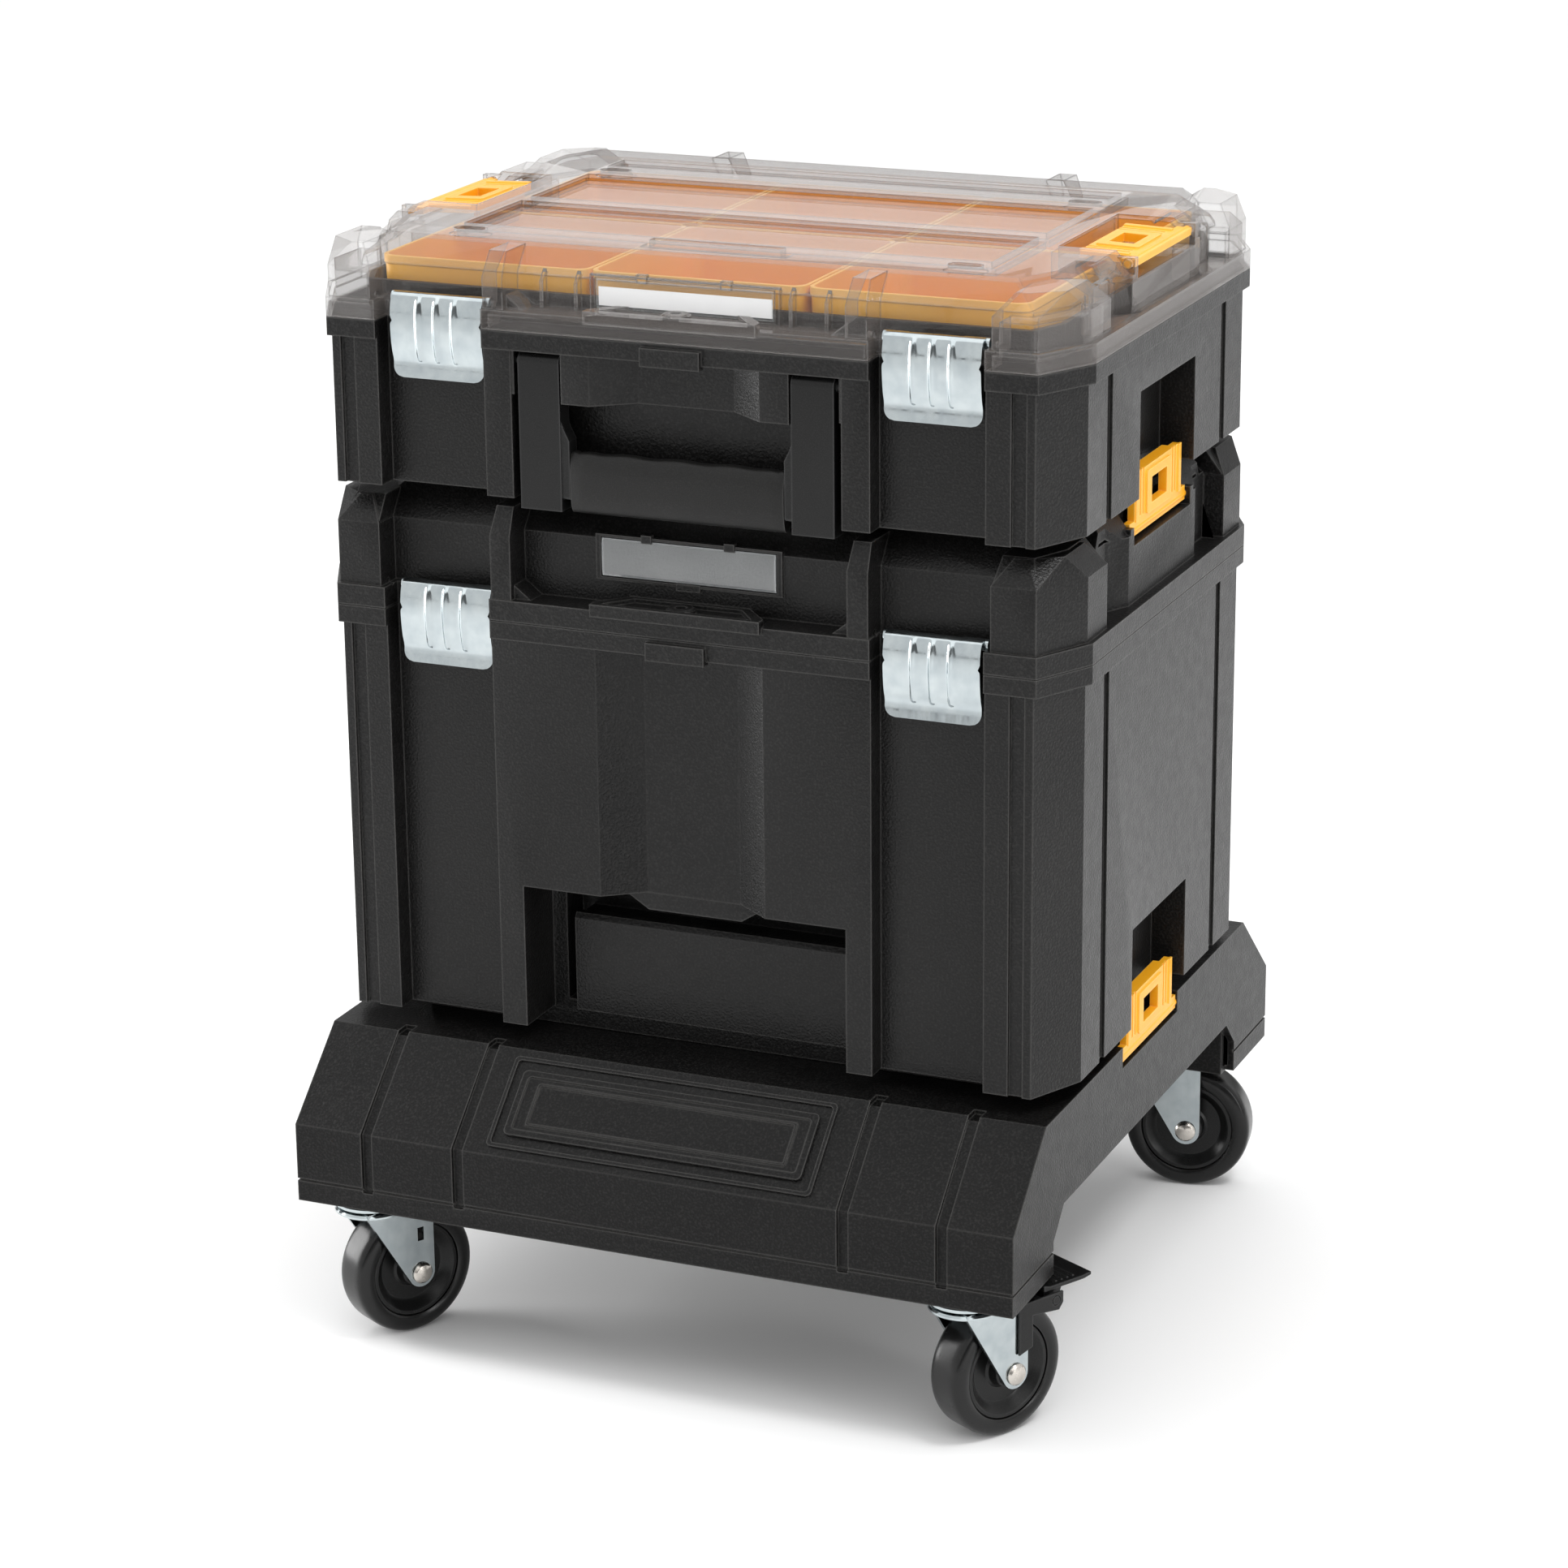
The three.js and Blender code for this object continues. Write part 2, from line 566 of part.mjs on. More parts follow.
function lidShell(box, pivotZ) {
  const knuckles = hingeKnuckles(hinge.knuckle / 2, box.seam, 1);
  // lugs that the side latches pivot in
  const lugs = fourCorners((side, end) => block(...span(side, sideLatch.x - 6, sideLatch.x + 5),
    ...span(end, sideLatch.ear + 1, sideLatch.ear + 6), pivotZ - 5, pivotZ + 4));
  const pinReach = latchPin.reach + gap;
  const pinHoles = bothSides((side) => rodAlongX(latchPin.bore,
    ...span(side, bay.inner - pinReach, bay.outer + pinReach),
    -latchPin.y, box.ledge + latchPin.rise));
  const shell = lidForm(box, 0).subtract(lidForm(box, lidWall));
  return cut(join([shell, ...lugs, ...knuckles.parts]),
    [knuckles.bore, ...latchPivotHoles(pivotZ), ...pinHoles]);
}

// a label window, or the card behind it, in front of the lid's core
function labelPlate(half, zLow, zHigh, back, thickness) {
  const y = -core.y - gap - back;
  return block(-half, half, y - thickness, y, zLow, zHigh);
}

// ---------------------------------------------------------------- front latches
// a curved sheet steel latch with an eye for its pin, drawn about the pin
function frontLatchShape() {
  const x0 = bay.inner + 2;
  const x1 = bay.outer - 2;
  const outer = [[-1, 4], [-4, 4.2], [-7, 1], [-8.6, -6], [-9, -14], [-7.6, -26], [-4.6, -34],
    [-6.4, -41]];
  const inner = outer.map(([y, z]) => [y + latchSheet, z - (z > 3 ? latchSheet : 0)]).reverse();
  const sheet = prismAlongX([...outer, ...inner], x0, x1);
  const eye = rodAlongX(latchPin.eye, x0, x1, 0, 0);
  return cut(join([sheet, eye]), [rodAlongX(latchPin.bore, bay.inner, bay.outer, 0, 0)]);
}

function addFrontLatch(prefix, box, side) {
  const hand = side > 0 ? 'right' : 'left';
  const unit = new THREE.Group();
  const shift = side > 0 ? 0 : -(bay.inner + bay.outer);
  unit.position.set(shift, -latchPin.y, box.ledge + latchPin.rise);
  toolBox.add(unit);
  const pin = rodAlongX(latchPin.radius, bay.inner - latchPin.reach, bay.outer + latchPin.reach,
    0, 0);
  addPiece(`${prefix}_front_latch_${hand}`, frontLatchShape(), looks.zincSteel, unit);
  addPiece(`${prefix}_latch_pin_${hand}`, pin, looks.zincSteel, unit);
}

// ---------------------------------------------------------------- bail handle
function bailShape() {
  const profile = [[-bail.y - bail.half, bail.bottom], [-bail.y + bail.half, bail.bottom]];
  const endSteps = 8;
  for (let i = 0; i <= endSteps; i += 1) {
    const a = Math.PI * i / endSteps;
    profile.push([-bail.y + bail.half * Math.cos(a), bail.pivotZ + bail.half * Math.sin(a)]);
  }
  const arms = bothSides((side) => prismAlongX(profile, ...span(side, bail.inner, bail.outer)));
  const bar = block(-bail.inner - past, bail.inner + past, -bail.y - bail.core,
    -bail.y + bail.core, bail.coreLow, bail.coreHigh);
  // a pivot stub on the outside of each arm
  const stubs = bothSides((side) => rodAlongX(bail.pin,
    ...span(side, bail.outer - past, bail.pinEnd), -bail.y, bail.pivotZ));
  return join([...arms, bar, ...stubs]);
}

function gripShape() {
  const front = -bail.y - bail.half;
  const back = -bail.y + bail.half + 0.8;
  const low = bail.bottom - 0.5;
  const profile = [[front, low + 2], [front + 3, low], [back - 3, low], [back, low + 4],
    [back, bail.barTop - 6], [back - 3, bail.barTop], [front + 3, bail.barTop],
    [front, bail.barTop - 6]];
  const sleeve = prismAlongX(profile, -bail.inner + gap, bail.inner - gap);
  const slot = bail.core + gap;
  return sleeve.subtract(block(-bail.inner, bail.inner, -bail.y - slot, -bail.y + slot,
    bail.coreLow - gap, bail.coreHigh + gap));
}

// ---------------------------------------------------------------- cups
// an open cup drawn about its own middle, slightly narrower at the foot
function cupShape() {
  const low = upperBox.bottom + floor + gap;
  const high = upperBox.top - cup.below;
  const form = (inset, z0, z1) => {
    const mouth = { x: cup.x / 2 - inset, y: cup.y / 2 - inset };
    const base = { x: mouth.x - cup.taper, y: mouth.y - cup.taper };
    return taper(rectangle(-base.x, base.x, -base.y, base.y), z0,
      rectangle(-mouth.x, mouth.x, -mouth.y, mouth.y), z1);
  };
  return form(0, low, high).subtract(form(cup.wall, low + cup.wall, high + past));
}

function addCups() {
  const rows = { front: cup.frontY, rear: cup.rearY };
  const columns = { left: -1, middle: 0, right: 1 };
  Object.entries(rows).forEach(([row, y]) => Object.entries(columns).forEach(([place, side]) => {
    const mesh = addPiece(`cup_${row}_${place}`, cupShape(), looks.orange);
    mesh.position.set(side * (cup.x + 1), y, 0);
  }));
}

// ---------------------------------------------------------------- assembly
const hingeRod = (z) => rodAlongX(hinge.rod, -hinge.reach, hinge.reach, hinge.y, z);

addPiece('cart_body', cartBody(), looks.blackShell);
addPiece('cart_badge', cartBadge(), looks.blackShell);
Object.keys(casterTurn).forEach(addCaster);
addSideLatch('cart_latch_left', -1, latchZ.cart, 0);
addSideLatch('cart_latch_right', 1, latchZ.cart, 0);

addPiece('lower_tub', lowerTub(), looks.blackShell);
addPiece('lower_lid', lidShell(lowerBox, latchZ.lower), looks.blackShell);
addPiece('lower_hinge_rod', hingeRod(lowerBox.seam), looks.zincSteel);
addPiece('lower_label_window', labelPlate(label.half, 442, 461, 0, label.window), looks.clear);
addSideLatch('lower_side_latch_left', -1, latchZ.lower, 0);
addSideLatch('lower_side_latch_right', 1, latchZ.lower, 0);
bothSides((side) => addFrontLatch('lower', lowerBox, side));

const windowBack = label.card + gap;
addPiece('upper_tub', upperTub(), looks.blackShell);
addPiece('upper_lid', lidShell(upperBox, latchZ.upper), looks.clear);
addPiece('upper_hinge_rod', hingeRod(upperBox.seam), looks.zincSteel);
addPiece('upper_label_card', labelPlate(label.half - 4, 588, 600, 0, label.card), looks.card);
addPiece('upper_label_window', labelPlate(label.half, 587, 602, windowBack, label.window),
  looks.clear);
addSideLatch('upper_side_latch_left', -1, latchZ.upper, foldedDown);
addSideLatch('upper_side_latch_right', 1, latchZ.upper, foldedDown);
bothSides((side) => addFrontLatch('upper', upperBox, side));
addPiece('bail_handle', bailShape(), looks.blackShell);
addPiece('bail_grip', gripShape(), looks.blackGrip);
addCups();

export default toolBox;
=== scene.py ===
import json
import math

import bmesh
import bpy
from mathutils import Matrix, Vector


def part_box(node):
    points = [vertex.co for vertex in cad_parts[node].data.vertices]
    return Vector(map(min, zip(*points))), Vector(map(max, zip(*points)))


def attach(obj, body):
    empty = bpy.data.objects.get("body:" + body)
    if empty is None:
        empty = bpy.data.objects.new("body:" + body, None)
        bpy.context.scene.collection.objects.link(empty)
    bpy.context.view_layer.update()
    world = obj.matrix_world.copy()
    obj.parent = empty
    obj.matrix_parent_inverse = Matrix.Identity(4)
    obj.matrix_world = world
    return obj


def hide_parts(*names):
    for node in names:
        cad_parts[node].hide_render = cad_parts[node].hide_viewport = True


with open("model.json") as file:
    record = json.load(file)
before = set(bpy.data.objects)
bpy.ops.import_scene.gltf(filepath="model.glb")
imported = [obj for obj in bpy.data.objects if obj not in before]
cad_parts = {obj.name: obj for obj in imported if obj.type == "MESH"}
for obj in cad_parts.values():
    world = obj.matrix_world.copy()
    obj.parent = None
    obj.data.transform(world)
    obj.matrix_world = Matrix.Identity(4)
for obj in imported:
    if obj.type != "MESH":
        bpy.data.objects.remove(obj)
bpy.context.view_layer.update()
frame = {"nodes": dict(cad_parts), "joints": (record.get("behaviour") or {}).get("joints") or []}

MM = 0.001
nodes = frame["nodes"]
joints = {joint["name"]: joint for joint in frame["joints"]}


# ---------------------------------------------------------------- places read from the frame
def limits(node):
    """The lowest and highest corner of a CAD node, in millimetres."""
    low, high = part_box(node)
    return low / MM, high / MM


def pivot(joint):
    """The point that a joint turns or slides about, in millimetres."""
    return Vector(joints[joint]["pos_m"]) / MM


cart_high = limits("cart_body")[1]
SHOULDER_DROP, SHOULDER_RUN = 44, 49   # how far the ends of the cart slope down, and over what depth
CART = {"x": cart_high.x, "y": cart_high.y, "deck": cart_high.z,
        "shoulder": cart_high.z - SHOULDER_DROP, "deck_y": cart_high.y - SHOULDER_RUN}
PARTING_Z = 97                      # shadow line round the skirt of the cart

# of each box: its seam, the ledge over it, the knee where the lid turns in, its top, its label
LOWER = {"seam": pivot("lower_lid_open").z, "top": limits("lower_lid")[1].z, "label": (442, 464)}
LOWER.update(ledge=LOWER["seam"] + 12, knee=LOWER["top"] - 16)
UPPER = {"seam": pivot("upper_lid_open").z, "top": limits("upper_lid")[1].z, "label": (587, 604)}
UPPER.update(ledge=UPPER["seam"] + 11, knee=UPPER["top"] - 14)
FRONT_Y = -163                      # front face of both boxes
CORE_Y = -146                       # front wall of both lids, between the legs
BAY = (110, 173)                    # the stretch, left and right, that holds a front latch
LATCH_SHIFT = {"left": 4.2, "right": 2.4}   # how far right of the middle of its bay a latch sits


# ---------------------------------------------------------------- solids
def solid(*rings):
    """The solid through rings of points, capped at the first and the last."""
    shape = bmesh.new()
    loops = [[shape.verts.new(p) for p in ring] for ring in rings]
    for low, high in zip(loops, loops[1:]):
        for i, vert in enumerate(low):
            j = (i + 1) % len(low)
            shape.faces.new((vert, low[j], high[j], high[i]))
    shape.faces.new(loops[0][::-1])
    shape.faces.new(loops[-1])
    bmesh.ops.recalc_face_normals(shape, faces=shape.faces)
    return shape


def prism(points, z0, z1):
    """An outline of (x, y) points, carried from one height to another."""
    return solid([(x, y, z0) for x, y in points], [(x, y, z1) for x, y in points])


def along_x(points, x0, x1):
    """An outline of (y, z) points, carried across the box."""
    return solid([(x0, y, z) for y, z in points], [(x1, y, z) for y, z in points])


def along_y(points, y0, y1):
    """An outline of (x, z) points, carried from front to back."""
    return solid([(x, y0, z) for x, z in points], [(x, y1, z) for x, z in points])


def block(x0, x1, y0, y1, z0, z1):
    return prism([(x0, y0), (x1, y0), (x1, y1), (x0, y1)], z0, z1)


def mirrored(points, side, end):
    """An outline for the right rear, moved to another side (-1 is left) or end (-1 is the front)."""
    return [(x * side, y * end) for x, y in points]


def span(side, a, b):
    """The stretch from a to b on the positive side of the middle, or its mirror image."""
    return (a, b) if side > 0 else (-b, -a)


def rounded(half_x, half_y, radius, steps=5):
    """A rectangle with round corners, about the origin."""
    points = []
    for quarter in range(4):
        cx = (half_x - radius) * (1 if quarter in (0, 3) else -1)
        cy = (half_y - radius) * (1 if quarter < 2 else -1)
        for i in range(steps + 1):
            a = math.pi / 2 * (quarter + i / steps)
            points.append((cx + radius * math.cos(a), cy + radius * math.sin(a)))
    return points


def turned(profile, sides=56):
    """A piece turned about Z, from a closed outline of (radius, height) points."""
    shape = bmesh.new()
    rings = []
    for radius, z in profile:
        if radius < 1e-6:
            rings.append([shape.verts.new((0, 0, z))] * sides)
        else:
            angles = [2 * math.pi * i / sides for i in range(sides)]
            rings.append([shape.verts.new((radius * math.cos(a), radius * math.sin(a), z))
                          for a in angles])
    for low, high in zip(rings, rings[1:] + rings[:1]):
        for i in range(sides):
            j = (i + 1) % sides
            corners = []
            for vert in (low[i], low[j], high[j], high[i]):
                if vert not in corners:
                    corners.append(vert)
            if len(corners) > 2:
                shape.faces.new(corners)
    bmesh.ops.recalc_face_normals(shape, faces=shape.faces)
    return shape


def moved(shape, matrix):
    """The same solid, after a matrix; a mirroring matrix keeps its faces pointing out."""
    bmesh.ops.transform(shape, matrix=matrix, verts=shape.verts)
    if matrix.determinant() < 0:
        bmesh.ops.reverse_faces(shape, faces=shape.faces)
    return shape


def lying(shape):
    """Turns a piece from the Z axis to the Y axis."""
    return moved(shape, Matrix.Rotation(math.pi / 2, 4, "X"))


def cad(node):
    """A working copy of a CAD node, in millimetres."""
    shape = bmesh.new()
    shape.from_mesh(nodes[node].data)
    bmesh.ops.scale(shape, vec=Vector((1, 1, 1)) / MM, verts=shape.verts)
    bmesh.ops.remove_doubles(shape, verts=shape.verts, dist=0.01)
    bmesh.ops.recalc_face_normals(shape, faces=shape.faces)
    return shape


def as_object(shape, name):
    """A Blender object in the scene, made from a solid that isn't needed afterwards."""
    mesh = bpy.data.meshes.new(name)
    shape.to_mesh(mesh)
    shape.free()
    made = bpy.data.objects.new(name, mesh)
    bpy.context.scene.collection.objects.link(made)
    return made


def combine(base, *steps):
    """base with solids joined on or cut away, in order: ("UNION", [...]), ("DIFFERENCE", [...])."""
    host = as_object(base, "host")
    tools = []
    for operation, shapes in steps:
        for shape in shapes:
            tool = as_object(shape, "tool")
            modifier = host.modifiers.new(operation, "BOOLEAN")
            modifier.operation = operation
            modifier.solver = "MANIFOLD"
            modifier.object = tool
            tools.append(tool)
    evaluated = host.evaluated_get(bpy.context.evaluated_depsgraph_get())
    result = bmesh.new()
    result.from_mesh(evaluated.data)
    for leftover in [host, *tools]:
        mesh = leftover.data
        bpy.data.objects.remove(leftover)
        bpy.data.meshes.remove(mesh)
    return result


def piece(name, shape, body, material, replaces=(), *, bevel, crease=19):
    """Makes one visible piece: cleaned, scaled to metres, edges rounded, riding on its body.

    bevel is the width of the rounding in millimetres, and crease the least angle that gets it.
    """
    bmesh.ops.remove_doubles(shape, verts=shape.verts, dist=0.02)
    bmesh.ops.dissolve_limit(shape, angle_limit=math.radians(0.5), verts=shape.verts,
                             edges=shape.edges)
    bmesh.ops.scale(shape, vec=Vector((MM, MM, MM)), verts=shape.verts)
    made = as_object(shape, name)
    made.data.polygons.foreach_set("use_smooth", [True] * len(made.data.polygons))
    made.data.set_sharp_from_angle(angle=math.radians(crease))
    made.data.materials.append(material)
    if bevel:
        modifier = made.modifiers.new("Rounded edges", "BEVEL")
        modifier.width = bevel * MM
        modifier.segments = 2
        modifier.limit_method = "ANGLE"
        modifier.angle_limit = math.radians(crease)
        modifier.use_clamp_overlap = True
        modifier.harden_normals = True
    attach(made, body)
    if replaces:
        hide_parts(*replaces)
    return made


# ---------------------------------------------------------------- materials
def new_material(name):
    """A material with its node tree and its Principled shader."""
    made = bpy.data.materials.new(name)
    made.use_nodes = True
    return made, made.node_tree, made.node_tree.nodes["Principled BSDF"]


def noise(tree, per_metre, detail=3.0, stretch=(1, 1, 1)):
    """Noise over the surface, with its features sized in parts of a metre."""
    place = tree.nodes.new("ShaderNodeTexCoord")
    scale = tree.nodes.new("ShaderNodeMapping")
    scale.inputs["Scale"].default_value = stretch
    tree.links.new(place.outputs["Object"], scale.inputs["Vector"])
    made = tree.nodes.new("ShaderNodeTexNoise")
    made.inputs["Scale"].default_value = per_metre
    made.inputs["Detail"].default_value = detail
    tree.links.new(scale.outputs["Vector"], made.inputs["Vector"])
    return made.outputs["Fac"]


def ranged(tree, value, low, high, start=0.3, stop=0.7):
    """Turns a value between start and stop into one between low and high."""
    made = tree.nodes.new("ShaderNodeMapRange")
    made.inputs["From Min"].default_value = start
    made.inputs["From Max"].default_value = stop
    made.inputs["To Min"].default_value = low
    made.inputs["To Max"].default_value = high
    tree.links.new(value, made.inputs["Value"])
    return made.outputs["Result"]


def blended(tree, factor, first, second):
    """A colour from first to second as factor goes from 0 to 1."""
    made = tree.nodes.new("ShaderNodeMix")
    made.data_type = "RGBA"
    tree.links.new(factor, made.inputs["Factor"])
    for socket, value in ((made.inputs["A"], first), (made.inputs["B"], second)):
        if isinstance(value, tuple):
            socket.default_value = (*value, 1)
        else:
            tree.links.new(value, socket)
    return made.outputs["Result"]


def multiplied(tree, first, second):
    """The product of two values."""
    made = tree.nodes.new("ShaderNodeMath")
    made.operation = "MULTIPLY"
    tree.links.new(first, made.inputs[0])
    tree.links.new(second, made.inputs[1])
    return made.outputs["Value"]


def edge_mask(tree, reach):
    """Near 1 where the surface turns sharply within reach, near 0 on flats."""
    soft = tree.nodes.new("ShaderNodeBevel")
    soft.inputs["Radius"].default_value = reach * MM
    plain = tree.nodes.new("ShaderNodeNewGeometry")
    agree = tree.nodes.new("ShaderNodeVectorMath")
    agree.operation = "DOT_PRODUCT"
    tree.links.new(soft.outputs["Normal"], agree.inputs[0])
    tree.links.new(plain.outputs["Normal"], agree.inputs[1])
    on_edge, on_flat = 0.82, 0.985
    return ranged(tree, agree.outputs["Value"], 1, 0, on_edge, on_flat)


def bumped(tree, shader, height, strength, distance):
    """Presses a height pattern into the surface, distance millimetres deep."""
    made = tree.nodes.new("ShaderNodeBump")
    made.inputs["Strength"].default_value = strength
    made.inputs["Distance"].default_value = distance * MM
    tree.links.new(height, made.inputs["Height"])
    tree.links.new(made.outputs["Normal"], shader.inputs["Normal"])


def moulded(name, dark, light, painted_edge_colour, rough, grain, depth, specular):
    """Moulded plastic: fine grain, slow colour drift, and the edge colour painted along its edges,
    mostly as a painted highlight.
    """
    made, tree, shader = new_material(name)
    edge_reach = 1.6
    drift = ranged(tree, noise(tree, 18, 4), 0, 1)
    speck = noise(tree, grain, 2)
    # painted highlight: the edge colour laid along sharp edges, unevenly strong
    painted_edge_mask = multiplied(tree, edge_mask(tree, edge_reach), ranged(tree, noise(tree, 60, 5), 0.7, 1))
    base = blended(tree, drift, dark, light)
    # specks of the edge colour in the grain: partly moulded grain, partly painted glints
    grained = blended(tree, ranged(tree, speck, 0, 0.16, 0.48, 0.72), base, painted_edge_colour)
    tree.links.new(blended(tree, painted_edge_mask, grained, painted_edge_colour), shader.inputs["Base Color"])
    rubbed = ranged(tree, noise(tree, 140, 5), rough - 0.03, rough + 0.04)
    tree.links.new(rubbed, shader.inputs["Roughness"])
    shader.inputs["Specular IOR Level"].default_value = specular
    bumped(tree, shader, speck, 0.9, depth)
    return made


def metal(name, dark, light, rough, stretch=(1, 1, 1)):
    """Bright plated steel, slightly mottled; stretch draws its finish out into rolling lines."""
    made, tree, shader = new_material(name)
    cloud = ranged(tree, noise(tree, 120, 6), 0, 1)
    tree.links.new(blended(tree, cloud, dark, light), shader.inputs["Base Color"])
    shader.inputs["Metallic"].default_value = 1
    streak = ranged(tree, noise(tree, 300, 3, stretch), rough - 0.06, rough + 0.1)
    tree.links.new(streak, shader.inputs["Roughness"])
    bumped(tree, shader, noise(tree, 500, 2, stretch), 0.25, 0.03)
    return made


def clear(name, dark, light, painted_edge_line, rough, facing, grazing, rim):
    """Clear plastic: thin seen squarely, denser seen along it, and more opaque at its edges, which carry
    a painted edge line.
    """
    made, tree, shader = new_material(name)
    edge_reach = 2.0
    haze = ranged(tree, noise(tree, 40, 4), 0, 1)
    rims = edge_mask(tree, edge_reach)
    body = blended(tree, haze, dark, light)
    # painted edge line: where darker than the body it is painted shade standing in for refraction, where
    # lighter it is a painted highlight
    tree.links.new(blended(tree, rims, body, painted_edge_line), shader.inputs["Base Color"])
    tree.links.new(ranged(tree, noise(tree, 90, 4), rough, rough + 0.03),
                   shader.inputs["Roughness"])
    shader.inputs["IOR"].default_value = 2.5
    angle = tree.nodes.new("ShaderNodeLayerWeight")
    angle.inputs["Blend"].default_value = 0.5
    density = ranged(tree, angle.outputs["Facing"], facing, grazing, 0.1, 0.95)
    # more opacity at the edges, so that the painted edge line shows over what lies behind
    painted_line_alpha = tree.nodes.new("ShaderNodeMath")
    painted_line_alpha.operation = "MULTIPLY_ADD"
    painted_line_alpha.inputs[1].default_value = rim
    tree.links.new(rims, painted_line_alpha.inputs[0])
    tree.links.new(density, painted_line_alpha.inputs[2])
    tree.links.new(painted_line_alpha.outputs["Value"], shader.inputs["Alpha"])
    return made


# the third colour of each moulded plastic is its edge colour: lighter than the body, a painted highlight
# along the edges that also tints the grain specks as painted glints; on the white card it is slightly
# darker, which darkens the card's edges a little
black = moulded("black moulded plastic", (0.0048, 0.0046, 0.0046), (0.0075, 0.0072, 0.0070),
                (0.078, 0.076, 0.073), rough=0.34, grain=760, depth=0.4, specular=0.26)
cart_black = moulded("black cart plastic", (0.0022, 0.0021, 0.0021), (0.004, 0.0038, 0.0037),
                     (0.075, 0.073, 0.070), rough=0.36, grain=760, depth=0.35, specular=0.19)
black_smooth = moulded("smooth black plastic", (0.004, 0.004, 0.004), (0.006, 0.006, 0.006),
                       (0.05, 0.05, 0.05), rough=0.30, grain=1500, depth=0.04, specular=0.3)
grip_rubber = moulded("soft grip rubber", (0.005, 0.0048, 0.0046), (0.008, 0.0078, 0.0075),
                      (0.05, 0.05, 0.048), rough=0.42, grain=1600, depth=0.06, specular=0.3)
tyre_rubber = moulded("tyre rubber", (0.003, 0.003, 0.003), (0.006, 0.006, 0.006),
                      (0.03, 0.029, 0.028), rough=0.24, grain=700, depth=0.03, specular=0.36)
orange = moulded("orange plastic", (1.0, 0.40, 0.008), (1.0, 0.45, 0.012),
                 (1.0, 0.60, 0.12), rough=0.34, grain=1300, depth=0.03, specular=0.35)
card = moulded("white card", (0.93, 0.93, 0.93), (0.97, 0.97, 0.97),
               (0.9, 0.9, 0.9), rough=0.75, grain=2500, depth=0.02, specular=0.2)
zinc = metal("zinc plated steel", (0.43, 0.48, 0.50), (0.53, 0.58, 0.59), rough=0.14,
             stretch=(1, 1, 0.08))
nickel = metal("nickel plated steel", (0.50, 0.47, 0.43), (0.66, 0.62, 0.57), rough=0.22)
cup_orange = moulded("orange cup plastic", (1.0, 0.47, 0.04), (1.0, 0.51, 0.05),
                     (1.0, 0.62, 0.14), rough=0.34, grain=1300, depth=0.02, specular=0.35)
# the third colour of each clear plastic is its painted edge line: darker than the body on the smoky lid
# and the upper label window, painted shade standing in for refraction; lighter on the grey window, a
# painted highlight
smoky = clear("smoky clear plastic", (0.21, 0.185, 0.17), (0.26, 0.23, 0.215),
              (0.06, 0.055, 0.05), rough=0.03, facing=0.11, grazing=0.44, rim=0.6)
label_clear = clear("label window plastic", (0.5, 0.52, 0.53), (0.6, 0.62, 0.63),
                    (0.3, 0.32, 0.32), rough=0.04, facing=0.06, grazing=0.25, rim=0.4)
label_grey = clear("grey label window plastic", (0.14, 0.15, 0.155), (0.19, 0.2, 0.205),
                   (0.5, 0.52, 0.53), rough=0.05, facing=0.5, grazing=0.7, rim=0.3)

# the two hinge rods stay in view; every other node is replaced by a piece below
for node, cad_object in nodes.items():
    cad_object.data.materials.clear()
    cad_object.data.materials.append(zinc if "rod" in node or "pin" in node else black)


# ---------------------------------------------------------------- cart
GROOVES = (-168, -112, 115.5, 171.5)   # middles of the grooves over the shoulders
slope_run = Vector((0, CART["y"] - CART["deck_y"], CART["deck"] - CART["shoulder"]))
slope_angle = math.atan2(slope_run.z, slope_run.y)


def cart_shell():
    """The moulded body, with grooves over both shoulders and a shadow line round the skirt."""
    x, y, deck_y, shoulder, deck = (CART[key] for key in ("x", "y", "deck_y", "shoulder", "deck"))
    half_groove, depth, line_depth = 3.2, 2.4, 0.9
    line = (PARTING_Z - 0.6, PARTING_Z + 0.8)
    clear_of = 2                        # how far a cutting solid reaches out of the surface
    face = [(y + clear_of, PARTING_Z), (y - depth, PARTING_Z), (y - depth, shoulder - 0.8),
            (deck_y + 0.8, deck - depth), (deck_y - 9, deck - depth), (deck_y - 9, deck + clear_of),
            (deck_y + 1, deck + clear_of), (y + clear_of, shoulder + clear_of)]
    cuts = []
    for end in (-1, 1):
        outline = [(a * end, b) for a, b in face]
        cuts += [along_x(outline, place - half_groove, place + half_groove) for place in GROOVES]
        cuts.append(block(-x - clear_of, x + clear_of, *span(end, y - line_depth, y + clear_of), *line))
    for side in (-1, 1):
        cuts.append(block(*span(side, x - line_depth, x + clear_of), -y - clear_of, y + clear_of, *line))
    return combine(cad("cart_body"), ("DIFFERENCE", cuts))


def cart_badge():
    """A raised plain panel with a double frame, lying on the front slope."""
    half_x, half_y, thickness = 88, 20, 1.6

    def plate(wider, deeper, radius, low, high):
        """A rounded plate that reaches that much further than the panel each way."""
        return prism(rounded(half_x + wider, half_y + deeper, radius), low, high)

    border = combine(plate(8, 8, 3, -0.3, 0.9), ("DIFFERENCE", [plate(5.5, 5.5, 2, -1, 2)]))
    panel = combine(plate(0, 0, 3, 0, thickness), ("DIFFERENCE", [plate(-4, -4, 2, 0.7, 2)]),
                    ("UNION", [plate(-11, -7, 1.5, 0.5, 1.4)]),
                    ("DIFFERENCE", [plate(-12.5, -8.5, 1, 0.7, 2)]), ("UNION", [border]))
    low, high = limits("cart_badge")
    centre = (low + high) / 2
    turn = Matrix.Translation(centre) @ Matrix.Rotation(slope_angle, 4, "X")
    return moved(panel, turn @ Matrix.Translation((0, 0, -thickness / 2)))


